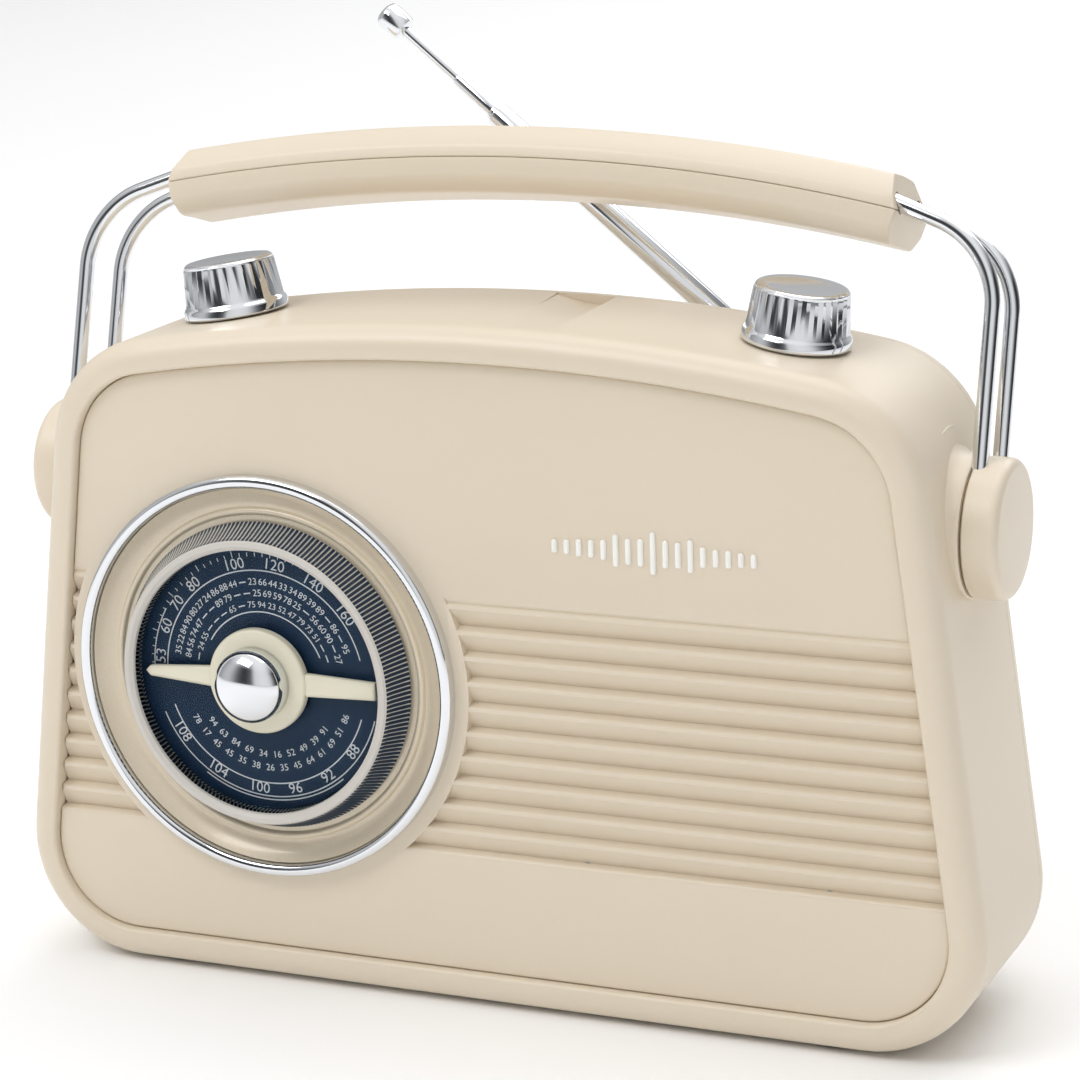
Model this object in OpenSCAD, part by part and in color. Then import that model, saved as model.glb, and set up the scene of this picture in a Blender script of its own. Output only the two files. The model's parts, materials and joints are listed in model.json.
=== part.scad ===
// Tabletop radio with a folding carrying handle, a large round dial and a telescopic aerial.
// Millimetres. X runs across the front, +Y runs to the back, +Z is up.
// The origin is on the table, under the middle of the radio's whole depth.

/* [Cabinet] */
// Width along the table if the bottom corners were square
cabinet_w = 244.6; // [225:0.2:300]
// Height of the crown above the table
cabinet_h = 158.5; // [148:0.5:195]
// Depth of the sides, from the front rim to their rear edge
cabinet_d = 52; // [50:0.5:66]
// How far the middle of the back bulges behind the sides
back_bulge = 14; // [13:0.5:24]
// Lean of each side inwards, in degrees
side_lean = 7.4; // [4:0.1:10]
// Radius of the arched top
crown_r = 490; // [380:5:900]
// Radius of the cabinet's corners
corner_r = 28; // [22:0.5:30]
// Radius of the rounded front and rear edges
edge_r = 5.5; // [3:0.1:6]
// Thickness of the cabinet walls
wall = 2.4; // [1.8:0.1:3]
// Height of the cabinet above the table
foot_gap = 0.8; // [0.6:0.1:2]
// Diameter of a rubber foot
foot_dia = 14; // [10:0.5:20]

/* [Front panel] */
// Width of the rim around the front panel
rim_w = 7.6; // [7:0.1:10]
// Depth of the panel's face behind the rim
panel_recess = 2; // [1.5:0.1:3]
// Thickness of the panel
panel_t = 2.2; // [1.8:0.1:3]
// Number of ribs
rib_count = 11; // [6:1:11]
// Distance between ribs
rib_pitch = 5.9; // [4.8:0.1:6.2]
// Height of one rib
rib_h = 4.2; // [3:0.1:4.4]
// Height of the middle of the lowest rib
rib_low_z = 36; // [34:0.5:40]

/* [Dial] */
// Distance of the dial's centre from the foot of the left side
dial_inset = 70; // [68:0.5:76]
// Height of the dial's centre
dial_z = 74.5; // [70:0.5:80]
// Radius of the middle of the chrome ring
ring_r = 46.3; // [42:0.1:50]
// Thickness of the chrome ring
ring_t = 2.8; // [2:0.1:3.4]
// Radius of the front of the tuning knob
tuner_r = 33.7; // [30:0.1:36]
// Height of the tuning knob in front of the ring
tuner_h = 5; // [4:0.1:8]
// Radius of the hub cap
hub_cap_r = 8.6; // [7:0.1:10]
// Height of the hub cap's top in front of the ring
hub_cap_h = 11.5; // [10:0.1:13]
// Diameter of the tuning shaft
shaft_dia = 6; // [5:0.1:7]

/* [Top knobs] */
// Distance of each top knob from the middle
knob_x = 68.5; // [60:0.5:74]
// Radius of a top knob
knob_r = 10.6; // [9:0.1:12]
// Radius of a top knob's flange
knob_flange_r = 12.2; // [10:0.1:14]
// Height of a top knob
knob_h = 13; // [10:0.5:18]

/* [Handle] */
// Distance of the handle's pivot behind the front rim
pivot_d = 27; // [24:0.5:32]
// Height of the crown above the handle's pivot
pivot_drop = 43; // [35:0.5:49]
// Radius of the pivot discs
disc_r = 15.5; // [14:0.1:18]
// Thickness of a pivot disc
disc_t = 8.2; // [7:0.1:11]
// Diameter of the pivot pins
pin_dia = 8; // [6:0.1:9]
// Backward lean of the handle, in degrees
handle_lean = 16; // [0:0.5:16]
// Diameter of the handle's rods
rod_dia = 3.6; // [3:0.1:4.4]
// Distance between the front and the rear rod
rod_gap = 16; // [14:0.5:18]
// Height of the rods' bend above the pivot
rod_bend_s = 46; // [42:0.5:60]
// Radius of the rods' bend
rod_bend_r = 20; // [16:0.5:24]
// Height of the grip's middle above the pivot
grip_s = 75; // [72:0.5:92]
// Height of the grip's arch
grip_arch = 8.5; // [6:0.5:12]
// Depth of the grip, front to back
grip_d = 24; // [22:0.5:28]
// Thickness of the grip
grip_t = 15.5; // [13:0.5:18]

/* [Aerial] */
// Distance of the aerial's pivot from the middle
aerial_x = 46; // [40:0.5:52]
// Distance of the aerial's pivot below the crown
aerial_drop = 15.5; // [15:0.5:20]
// Angle of the aerial above the horizontal
aerial_rise = 39.7; // [30:0.1:60]
// Outer diameters of the aerial's four sections
section_dia = [6, 4.8, 3.6, 2.6];
// Where each section ends, measured from the pivot
section_end = [83.5, 84.5, 96, 112.6];

/* [Battery bay] */
// Length of a battery
cell_len = 50; // [48:0.5:52]
// Diameter of a battery
cell_dia = 26.2; // [24:0.1:27]

/* [Hidden] */
$fn = 64;

fit = 0.1;                       // gap between pieces that seat in each other
run = 0.05;                      // radial gap of a turning or sliding fit
clear = 0.3;                     // gap between pieces that pass each other
cream = "#E3D7C0";
chrome = "#C9CCD0";

// Places along the depth, from the front rim.
aerial_d = cabinet_d + back_bulge - 0.5;
aerial_cap_r = 3.25;
front_y = -(aerial_d + aerial_cap_r - hub_cap_h) / 2;
panel_back = panel_recess + panel_t;
ledge_w = 3;
ledge_back = panel_back + wall;
split_d = cabinet_d - edge_r - 0.5;
back_d = cabinet_d + back_bulge;
bulge_in = 8.5;
pivot_z = cabinet_h - pivot_drop;

function at_d(d) = front_y + d;
function side_x(z) = cabinet_w / 2 - z * tan(side_lean);
function top_z(x) = cabinet_h - crown_r + sqrt(crown_r * crown_r - x * x);

// ---- shared shapes ----

// A flat outline in X and Z, made solid between two depths behind the front rim.
module slab(d0, d1)
    translate([0, at_d(d1), 0]) rotate([90, 0, 0]) linear_extrude(d1 - d0) children();

// The cabinet's outline, drawn in by an inset.
module outline(inset = 0)
    offset(r = corner_r - inset) offset(delta = -corner_r)
        intersection() {
            polygon([[-side_x(foot_gap), foot_gap], [side_x(foot_gap), foot_gap],
                [side_x(cabinet_h + 9), cabinet_h + 9], [-side_x(cabinet_h + 9), cabinet_h + 9]]);
            translate([0, cabinet_h - crown_r]) circle(crown_r, $fn = 200);
        }

module at_dial()
    translate([-(cabinet_w / 2 - dial_inset), front_y, dial_z]) rotate([90, 0, 0]) children();

// A knob's own frame: on the arched top, with Z along the surface normal.
module at_knob(side)
    translate([side * knob_x, at_d(pivot_d), top_z(knob_x)])
        rotate([0, side * asin(knob_x / crown_r), 0]) children();

// The pivot's frame on one side: Z points outwards along the handle's axis.
module at_pivot(side)
    translate([0, at_d(pivot_d), pivot_z]) rotate([0, side * 90, 0]) children();

// The handle's frame: X across, Z up along the leaning handle, Y to the back.
module at_handle()
    translate([0, at_d(pivot_d), pivot_z]) rotate([-handle_lean, 0, 0]) children();

aerial_z = cabinet_h - aerial_drop;
module at_aerial_base()
    translate([aerial_x, at_d(aerial_d), aerial_z]) children();
// The aerial's frame: Z along the aerial, Y to the back, X along the tilt hinge.
module at_aerial()
    at_aerial_base() rotate([0, aerial_rise - 90, 0]) children();

module tube(r_out, r_in, z0, z1)
    translate([0, 0, z0]) difference() {
        cylinder(r = r_out, h = z1 - z0);
        translate([0, 0, -1]) cylinder(r = r_in, h = z1 - z0 + 2);
    }

module rod_y(r, d0, d1)
    translate([0, at_d(d1), 0]) rotate([90, 0, 0]) cylinder(r = r, h = d1 - d0);

// A screw along +Z with its head's underside at 0 and a cross slot in the head.
module screw(r, len, head_r, head_h)
    difference() {
        union() {
            translate([0, 0, -len]) cylinder(r = r, h = len + head_h / 2, $fn = 24);
            cylinder(r = head_r, h = head_h, $fn = 24);
        }
        for (a = [0, 90])
            rotate([0, 0, a]) translate([-head_r * 0.7, -0.3, head_h * 0.4])
                cube([head_r * 1.4, 0.6, head_h]);
    }

// ---- cabinet ----

post_r = 3.8;
post_in = 17;
low_post_z = 33;
high_post_z = pivot_z + 13;
posts = [for (s = [-1, 1], z = [low_post_z, high_post_z]) [s * (side_x(z) - post_in), z, s]];
foot_x = cabinet_w / 2 - corner_r - 12;
feet = [for (s = [-1, 1], d = [12, cabinet_d - 13]) [s * foot_x, d]];
foot_seat = 1.2;

groove_x = 14;
groove_w = 11;
groove_start = 8;

// A shallow scoop that deepens to the back, for a fingertip under the stowed aerial.
module finger_scoop()
    translate([groove_x, 0, top_z(groove_x)])
        rotate([0, groove_x / crown_r * 57.3, 0])
            rotate([90, 0, 0])
                mirror([0, 0, 1])
                    intersection() {
                        translate([0, 0, at_d(groove_start)]) linear_extrude(cabinet_d)
                            polygon([[-groove_w / 2, 0.02], [groove_w / 2, -1.7],
                                [groove_w / 2 + 0.6, 3], [-groove_w / 2, 3]]);
                        translate([-20, 0, 0]) rotate([0, 90, 0]) linear_extrude(40)
                            polygon([[-at_d(groove_start), 0.1], [-at_d(groove_start + cabinet_d), -2.2],
                                [-at_d(groove_start + cabinet_d), 4], [-at_d(groove_start), 4]]);
                    }

module front_housing()
    color(cream) difference() {
        union() {
            difference() {
                slab(0, split_d) outline();
                slab(ledge_back, split_d + 1) outline(wall);
                slab(-1, ledge_back + 1) outline(rim_w + ledge_w);
            }
            for (p = posts) {
                translate([p[0], 0, p[1]]) rod_y(post_r, panel_back, split_d);
                translate([min(p[0], p[0] + p[2] * (post_in - 2)), at_d(panel_back), p[1] - wall / 2])
                    cube([post_in - 2, split_d - panel_back, wall]);
            }
        }
        slab(-1, panel_back) outline(rim_w);
        for (p = posts)
            translate([p[0], 0, p[1]]) rod_y(1.3, split_d - 14, split_d + 1);
        for (s = [-1, 1]) {
            at_knob(s) translate([0, 0, -8]) cylinder(r = shaft_dia / 2 + 0.6, h = 12);
            at_pivot(s) translate([0, 0, side_x(pivot_z) - 9]) cylinder(r = pin_dia / 2 + run, h = 14);
        }
        for (f = feet)
            translate([f[0], at_d(f[1]), foot_gap - 1]) cylinder(d = foot_dia + 2 * fit, h = 1 + foot_seat);
        finger_scoop();
    }

// Channel in the top of the back, where the aerial lies when it is folded away.
channel_front = aerial_d - 7;
channel_low = aerial_z - 7;
channel_x0 = aerial_x - 136;
channel_x1 = aerial_x + 10;
module aerial_channel(grow = 0)
    translate([channel_x0 - grow, at_d(channel_front - grow), channel_low - grow])
        cube([channel_x1 - channel_x0 + 2 * grow, back_bulge + 10, 60]);

// Battery bay, measured from the left side.
bay_gap = 4;
bay_len = 2 * cell_len + 2 * bay_gap;
bay_h = 2 * cell_dia + 3.4;
tray_t = 1.5;
bay_z = 20;
bay_x = -(side_x(bay_z + bay_h) - bulge_in - wall - 13);
bay_back = back_d - wall;
bay_front = bay_back - cell_dia - 1;
door_margin = 1.5;

inlet_x = side_x(0) - 44;
inlet_z = 44;
jack_z = 76;
inlet_w = 21;
inlet_h = 13;
jack_r = 4;
vent_x = 36;

module door_shape(grow = 0)
    translate([bay_x - door_margin - grow, bay_z - door_margin - grow])
        square([bay_len + 2 * (door_margin + grow), bay_h + 2 * (door_margin + grow)]);

well_r = 3.4;
module rear_housing()
    color(cream) difference() {
        union() {
            difference() {
                union() {
                    slab(split_d, cabinet_d) outline();
                    slab(cabinet_d - 1, back_d) outline(bulge_in);
                }
                slab(split_d - 1, cabinet_d - wall) outline(wall + edge_r / 2);
                difference() {
                    slab(split_d - 1, back_d - wall) outline(bulge_in + wall + 1);
                    aerial_channel(wall);
                }
            }
            for (p = posts)
                translate([p[0], 0, p[1]]) rod_y(well_r + 1.4, split_d + 0.2, back_d - 2.2);
        }
        aerial_channel();
        for (p = posts) {
            translate([p[0], 0, p[1]]) rod_y(1.7, split_d - 1, back_d);
            translate([p[0], 0, p[1]]) rod_y(well_r, split_d + 3, back_d + 1);
        }
        slab(back_d - wall - 2, back_d + 1) door_shape(clear);
        translate([inlet_x, 0, inlet_z]) slab(back_d - wall - 1, back_d + 1)
            square([inlet_w + 2 * fit, inlet_h + 2 * fit], center = true);
        translate([inlet_x, 0, jack_z]) rod_y(jack_r + fit, back_d - wall - 1, back_d + 1);
        for (i = [0:5])
            translate([vent_x, 0, 24 + i * 5]) slab(back_d - wall - 1, back_d + 1)
                square([22, 1.8], center = true);
        translate([aerial_x, 0, aerial_z]) rod_y(1.3, channel_front - wall - 1, channel_front + 1);
    }

// The insert that fills the front: flat at the top, ribbed below, with a round seat for the dial.
collar_r = ring_r + ring_t / 2 + 1.6;
dish_hole_r = ring_r - ring_t / 2 - 0.9;
rib_proud = 1.5;
board_posts = [for (x = [-44, 44], z = [-28, 26]) [-(cabinet_w / 2 - dial_inset) + x, dial_z + z]];
speaker_x = 54;
speaker_z = 65;
speaker_r = 38.5;
speaker_holes = [for (a = [45:90:315]) [speaker_x + (speaker_r + 2) * cos(a), speaker_z +
    (speaker_r + 2) * sin(a)]];

module rib_profile()
    polygon([[0.5, -rib_h / 2], [0, -rib_h / 2 + 0.2], [-rib_proud, -rib_h / 2 + 1.3],
        [-rib_proud, rib_h / 2 - 1],
        [-rib_proud + 0.5, rib_h / 2 - 0.2], [0, rib_h / 2], [0.5, rib_h / 2]]);

module grille_panel()
    color(cream) {
        difference() {
            union() {
                slab(panel_recess, panel_back) outline(rim_w + fit);
                intersection() {
                    for (i = [0:rib_count - 1])
                        translate([-cabinet_w / 2, at_d(panel_recess), rib_low_z + i * rib_pitch])
                            rotate([90, 0, 90]) linear_extrude(cabinet_w) rib_profile();
                    slab(-2, panel_back) outline(rim_w + fit);
                }
                at_dial() translate([0, 0, -panel_recess - 1])
                    cylinder(r = collar_r, h = panel_recess + 1.2);
                for (p = board_posts)
                    translate([p[0], 0, p[1]]) rod_y(3, panel_back - 1, board_d);
                for (p = speaker_holes)
                    translate([p[0], 0, p[1]]) rod_y(2.6, panel_back - 1, panel_back + 3);
            }
            at_dial() translate([0, 0, -panel_back - 1]) cylinder(r = dish_hole_r, h = 20);
            at_dial() translate([0, 0, -ring_t / 2 - 0.1]) cylinder(r = ring_r + ring_t / 2 + fit, h = 20);
            for (p = board_posts)
                translate([p[0], 0, p[1]]) rod_y(1.2, board_d - 8, board_d + 1);
            for (p = speaker_holes)
                translate([p[0], 0, p[1]]) rod_y(1, panel_recess + 0.8, panel_back + 4);
            for (i = [0:rib_count - 2])
                intersection() {
                    translate([speaker_x - 40, at_d(-1), rib_low_z + (i + 0.5) * rib_pitch - 0.6])
                        cube([80, panel_back + 2, 1.2]);
                    translate([speaker_x, 0, speaker_z]) rod_y(speaker_r - 5, -1, panel_back + 1);
                }
        }
    }

// A plain raised motif of upright bars that swell and fade.
badge_x = 44;
badge_z = 111;
module badge()
    color("white")
        for (i = [-8:8])
            translate([badge_x + i * 2.9, at_d(panel_recess - 0.8), badge_z])
                translate([-0.65, 0, -(1.6 + 3.2 * pow(cos(i * 10), 3) * abs(cos(i * 60)) )])
                    cube([1.3, 0.8, 2 * (1.6 + 3.2 * pow(cos(i * 10), 3) * abs(cos(i * 60)))]);

module rubber_feet()
    color("#3A3A3A")
        for (f = feet)
            translate([f[0], at_d(f[1]), 0]) {
                cylinder(d1 = foot_dia - 1.6, d2 = foot_dia, h = foot_gap);
                translate([0, 0, foot_gap]) cylinder(d = foot_dia, h = foot_seat - fit);
            }

module housing_screws()
    color("#8F9296")
        for (p = posts)
            translate([p[0], at_d(split_d + 3), p[1]]) rotate([-90, 0, 0]) screw(1.25, 13, 2.8, 1.8);

// ---- dial ----

dish_floor = -panel_recess - 1.4;
dial_plate_r = tuner_r - 0.9;
module dial_ring()
    color(chrome) at_dial() rotate_extrude($fn = 128) translate([ring_r, 0]) circle(d = ring_t, $fn = 32);

module dial_dish() {
    edge = ring_r - ring_t / 2 - fit;
    color("#CBBFA6") at_dial() rotate_extrude($fn = 128)
        polygon([[edge, -ring_t / 2], [edge, -0.4], [tuner_r + 4.3, dish_floor],
            [shaft_dia / 2 + run, dish_floor],
            [shaft_dia / 2 + run, dish_floor - 5.6], [shaft_dia / 2 + 3, dish_floor - 5.6],
            [shaft_dia / 2 + 3, dish_floor - 1.6], [dish_hole_r - 0.2, dish_floor - 1.6],
                [dish_hole_r - 0.2, -ring_t / 2]]);
}

module dial_plate()
    color("#2A4560") at_dial() tube(dial_plate_r, shaft_dia / 2 + 3.5, dish_floor, dish_floor + 2);

tuner_floor = dish_floor + 2.6;
tuner_floor_t = 1.7;
module tuning_knob()
    color("#E8EEF2", 0.5) at_dial() rotate_extrude($fn = 128)
        polygon([[shaft_dia / 2 + run, tuner_floor], [tuner_r - 0.3, tuner_floor],
            [tuner_r - 0.3, dish_floor + 1],
            [tuner_r + 2.8, dish_floor + 1], [tuner_r, tuner_h], [tuner_r - 3.3, tuner_h],
            [tuner_r - 3.7, tuner_floor + tuner_floor_t], [shaft_dia / 2 + run, tuner_floor +
                tuner_floor_t]]);

hub_z = tuner_floor + tuner_floor_t + 0.05;
hub_r = 12.4;
pointer_len = tuner_r - 4.3;
module pointer()
    color("#E2DDC6") at_dial() difference() {
        union() {
            translate([0, 0, hub_z]) cylinder(r = hub_r, h = 2.3);
            translate([0, 0, hub_z]) linear_extrude(1.6)
                polygon([[-pointer_len + 1.2, 1.2], [-hub_r + 1, 2.6], [hub_r - 1, 2.8],
                    [pointer_len + 0.3, 1.9],
                    [pointer_len + 0.3, -1.9], [hub_r - 1, -2.8], [-hub_r + 1, -2.6],
                        [-pointer_len + 1.2, -1.2],
                    [-pointer_len, 0]]);
        }
        translate([0, 0, hub_z - 1]) cylinder(r = shaft_dia / 2 + run, h = 3);
    }

cap_z = hub_z + 2.3;
cap_dome = 5;
module hub_cap()
    color(chrome) at_dial() translate([0, 0, cap_z]) rotate_extrude()
        polygon(concat([[0, 0.05], [hub_cap_r, 0.05]],
            [for (a = [0:9:90]) [hub_cap_r * cos(a), hub_cap_h - cap_z - cap_dome * (1 - sin(a))]]));

board_d = 28;
capacitor_t = 12;
module tuning_shaft()
    color("#B9BBBE") at_dial()
        translate([0, 0, -board_d + 2]) cylinder(d = shaft_dia, h = board_d - 2 + hub_z + 1.8);

module tuning_capacitor()
    color("#D8D4C8") at_dial() difference() {
        union() {
            translate([-12.5, -12.5, -board_d]) cube([25, 25, capacitor_t]);
            translate([0, 0, -board_d + capacitor_t - 0.1]) cylinder(r = 5, h = 2.6);
        }
        translate([0, 0, -board_d + 1.5]) cylinder(r = shaft_dia / 2 + run, h = 20);
    }

board_t = 1.6;
board_w = 96;
board_low = dial_z - 32;
board_high = dial_z + 30;
dial_x = -(cabinet_w / 2 - dial_inset);
module main_board()
    color("#2F6B45") difference() {
        slab(board_d, board_d + board_t)
            translate([dial_x - board_w / 2, board_low]) square([board_w, board_high - board_low]);
        for (p = board_posts)
            translate([p[0], 0, p[1]]) rod_y(1.7, board_d - 1, board_d + board_t + 1);
    }

module board_screws()
    color("#8F9296")
        for (p = board_posts)
            translate([p[0], at_d(board_d + board_t), p[1]]) rotate([-90, 0, 0]) screw(1.15, 7, 2.6, 1.6);

// Electrolytic cans and the amplifier chip on the front of the board.
module board_parts() {
    can_d = 8;
    color("#34425E")
        for (i = [0:3])
            translate([dial_x - 30 + i * 12, at_d(board_d - 11), dial_z + 22]) rotate([-90, 0, 0])
                cylinder(d = can_d, h = 11);
    color("#222222") translate([dial_x + 22, at_d(board_d - 3), dial_z - 10]) cube([8, 3, 20]);
}

// ---- loudspeaker ----

speaker_front = panel_back + 3;
module at_speaker()
    translate([speaker_x, at_d(speaker_front), speaker_z]) rotate([-90, 0, 0]) children();

module speaker_frame()
    color("#4A4C50") at_speaker() difference() {
        rotate_extrude($fn = 96)
            polygon([[speaker_r - 5, 0], [speaker_r + 4.5, 0], [speaker_r + 4.5, 1.2],
                [speaker_r - 3.5, 1.2], [24, 15],
                [24, 17], [11, 17], [11, 15.6], [22.4, 15.6]]);
        for (p = speaker_holes)
            translate([p[0] - speaker_x, -(p[1] - speaker_z), -1]) cylinder(r = 1.4, h = 4, $fn = 24);
    }

module speaker_cone()
    color("#2B2B2D") at_speaker() rotate_extrude($fn = 96)
        polygon([[0, 4.8], [9, 7.8], [10.2, 13.6], [speaker_r - 5.6, 0.2], [speaker_r - 5.6, 0.9],
            [10, 15], [9, 14.6],
            [8.6, 8.4], [0, 5.4]]);

module speaker_magnet()
    color("#3B3B3D") at_speaker() {
        tube(22.5, 10.6, 17.1, 27);
        translate([0, 0, 27]) cylinder(r = 22.5, h = 2);
        translate([0, 0, 15.8]) cylinder(r = 8, h = 11.3);
    }

module speaker_screws()
    color("#8F9296")
        for (p = speaker_holes)
            translate([p[0], at_d(speaker_front + 1.2), p[1]]) rotate([-90, 0, 0]) screw(0.95, 4, 2.2, 1.4);

// ---- knobs on top ----

module top_knob()
    rotate_extrude($fn = 96)
        polygon([[shaft_dia / 2 + run, 0.4], [knob_flange_r, 0.4], [knob_flange_r, 2.4],
            [knob_flange_r - 0.6, 3.2],
            [knob_r + 0.4, 3.6], [knob_r, knob_h - 1.4], [knob_r - 0.4, knob_h - 0.4],
                [knob_r - 1.4, knob_h], [0, knob_h],
            [0, knob_h - 2.2], [shaft_dia / 2 + run, knob_h - 2.2]]);

module knob_shaft()
    translate([0, 0, -wall - 8]) cylinder(d = shaft_dia, h = wall + 8 + knob_h - 2.3);

nut_t = 1.2;
nut_seat = wall + 0.12;          // the nuts lie just under the arched top
control_top = nut_seat + nut_t + run;

module control_body(r, h)
    difference() {
        union() {
            translate([0, 0, -control_top - h]) cylinder(r = r, h = h);
            translate([-r, -4, -control_top - h]) cube([2 * r, 8 + r, 2]);
        }
        translate([0, 0, -wall - h + 0.8]) cylinder(r = shaft_dia / 2 + run, h = h + 4);
    }

module volume_knob() color(chrome) at_knob(-1) top_knob();
module volume_shaft() color("#B9BBBE") at_knob(-1) knob_shaft();
module volume_pot() color("#9A9C9F") at_knob(-1) control_body(8.5, 9);
module band_knob() color(chrome) at_knob(1) top_knob();
module band_shaft() color("#B9BBBE") at_knob(1) knob_shaft();
module band_switch() color("#7B5A3C") at_knob(1) control_body(9.5, 9);

// Ring nuts that clamp both controls against the inside of the top.
module shaft_nuts()
    color("#B9BBBE")
        for (s = [-1, 1])
            at_knob(s) tube(5.2, shaft_dia / 2 + run, -nut_seat - nut_t, -nut_seat);

// ---- handle ----

disc_in_x = side_x(pivot_z - disc_r) + 0.4;
rod_bite = 0.5;                  // how far the rods stand out of a disc's inner face
rod_x = disc_in_x + rod_dia / 2 - rod_bite;
pin_in_x = side_x(pivot_z) - wall - 8;
clip_t = 1.2;

module pivot_boss(side)
    color(cream) difference() {
        at_pivot(side) tube(disc_r + 0.2, pin_dia / 2 + run, side_x(pivot_z) - 10,
            disc_in_x - rod_bite - clear);
        slab(pivot_d - 25, pivot_d + 25)
            polygon([[-side_x(0) - 0.02, 0], [side_x(0) + 0.02, 0], [side_x(cabinet_h) + 0.02, cabinet_h],
                [-side_x(cabinet_h) - 0.02, cabinet_h]]);
    }
module pivot_boss_left() pivot_boss(-1);
module pivot_boss_right() pivot_boss(1);

module pivot_disc(side)
    color(cream) difference() {
        at_pivot(side) translate([0, 0, disc_in_x]) rotate_extrude($fn = 96)
            polygon(concat([[0, 0], [disc_r, 0]],
                [for (a = [0:15:90]) [disc_r - 1.6 + 1.6 * cos(a), disc_t - 1.6 + 1.6 * sin(a)]],
                    [[0, disc_t]]));
        at_pivot(side) translate([0, 0, disc_in_x - 1]) cylinder(r = pin_dia / 2 + run, h = disc_t - 2.4);
        at_handle() rods(side, run);
    }
module pivot_disc_left() pivot_disc(-1);
module pivot_disc_right() pivot_disc(1);

module pivot_pins()
    color("#B9BBBE")
        for (s = [-1, 1])
            at_pivot(s) translate([0, 0, pin_in_x]) difference() {
                cylinder(d = pin_dia, h = disc_in_x + disc_t - 3.5 - pin_in_x);
                translate([0, 0, 0.8]) tube(pin_dia, pin_dia / 2 - 1, 0, clip_t + 0.2);
            }

module pivot_clips()
    color("#8F9296")
        for (s = [-1, 1])
            at_pivot(s) tube(pin_dia / 2 + 2.4, pin_dia / 2 - 1 + run, pin_in_x + 0.9, pin_in_x + 0.9 +
                clip_t);

module pivot_washers()
    color("#B9BBBE")
        for (s = [-1, 1])
            at_pivot(s) tube(pin_dia / 2 + 3.4, pin_dia / 2 + run, pin_in_x + 0.9 + clip_t + 0.1,
                pin_in_x + 4);

// Two bent rods on one side: straight up, round the bend, and sloping into the grip.
// The straight lengths are a hair thinner, so that each enters the bend in one clean circle.
leg_step = 0.08;
rod_turn = 70;
rod_slope = 90 - rod_turn;
bend_end_x = rod_x - rod_bend_r * (1 - cos(rod_turn));
bend_end_s = rod_bend_s + rod_bend_r * sin(rod_turn);
grip_end_x = rod_x - 22;
rod_tail = (bend_end_x - grip_end_x) / cos(rod_slope) + 9;
rod_foot_s = 4;

module rods(side, grow = 0)
    for (n = [-1, 1])
        translate([0, n * rod_gap / 2, 0]) mirror([side < 0 ? 1 : 0, 0, 0]) {
            translate([rod_x, 0, rod_foot_s - grow])
                cylinder(d = rod_dia - leg_step + 2 * grow, h = rod_bend_s - rod_foot_s + 0.5 + grow);
            translate([rod_x - rod_bend_r, 0, rod_bend_s]) rotate([90, 0, 0])
                rotate_extrude(angle = rod_turn) translate([rod_bend_r, 0])
                    circle(d = rod_dia + 2 * grow, $fn = 32);
            translate([bend_end_x, 0, bend_end_s]) rotate([0, -rod_turn, 0]) translate([0, 0, -0.5])
                cylinder(d = rod_dia - leg_step + 2 * grow, h = rod_tail + 0.5 + grow);
        }
module rods_left() color(chrome) at_handle() rods(-1);
module rods_right() color(chrome) at_handle() rods(1);

// The grip is an arched bar with bevelled edges, split along its length.
grip_arc_r = (grip_end_x * grip_end_x + grip_arch * grip_arch) / (2 * grip_arch);
grip_end_drop = 4;
module grip_section(lo, hi) {
    h = grip_t / 2;
    w = grip_d / 2;
    intersection() {
        polygon([[-h + 0.2, -w + 3.5], [-h + 3.5, -w], [h - 5, -w], [h, -w + 4.8],
            [h, w - 4.8], [h - 5, w], [-h + 3.5, w], [-h + 0.2, w - 3.5]]);
        translate([lo, -w - 1]) square([hi - lo, grip_d + 2]);
    }
}

module grip_bar(lo, hi) {
    half = asin(grip_end_x / grip_arc_r);
    intersection() {
        translate([0, 0, grip_s - grip_arc_r]) rotate([90, 0, 0]) rotate([0, 0, 90 - half])
            rotate_extrude(angle = 2 * half, $fn = 720) translate([grip_arc_r, 0]) grip_section(lo, hi);
        translate([0, 30, 0]) rotate([90, 0, 0]) linear_extrude(60)
            polygon([[-grip_end_x, grip_s - grip_arch - grip_t / 2 + grip_end_drop],
                [-grip_end_x + 22, grip_s - 30],
                [grip_end_x - 22, grip_s - 30], [grip_end_x, grip_s - grip_arch - grip_t / 2 +
                    grip_end_drop],
                [grip_end_x - 1, grip_s + 20], [-grip_end_x + 1, grip_s + 20]]);
    }
}

screw_spots = [-0.72, 0, 0.72];
function grip_under(x) = grip_s - grip_arc_r + sqrt(pow(grip_arc_r - grip_t / 2, 2) - x * x);
function grip_mid(x) = grip_s - grip_arc_r + sqrt(pow(grip_arc_r, 2) - x * x);

module grip_upper()
    color(cream) at_handle() difference() {
        grip_bar(0.05, grip_t);
        rods(1, fit);
        rods(-1, fit);
        for (k = screw_spots)
            translate([k * grip_end_x, 0, grip_mid(k * grip_end_x) - 2]) cylinder(r = 1.3, h = 7, $fn = 24);
    }

module grip_lower()
    color(cream) at_handle() difference() {
        grip_bar(-grip_t, -0.05);
        rods(1, fit);
        rods(-1, fit);
        for (k = screw_spots) {
            translate([k * grip_end_x, 0, grip_under(k * grip_end_x) - 1]) cylinder(r = 3, h = 4, $fn = 32);
            translate([k * grip_end_x, 0, grip_under(k * grip_end_x)]) cylinder(r = 1.7, h = 12, $fn = 24);
        }
        translate([groove_x + 6, 20, grip_under(groove_x)]) rotate([90, 0, 0])
            linear_extrude(40) polygon([[-groove_w / 2, -0.4], [groove_w / 2, 1.8],
                [groove_w / 2 + 0.5, -3], [-groove_w / 2, -3]]);
    }

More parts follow.
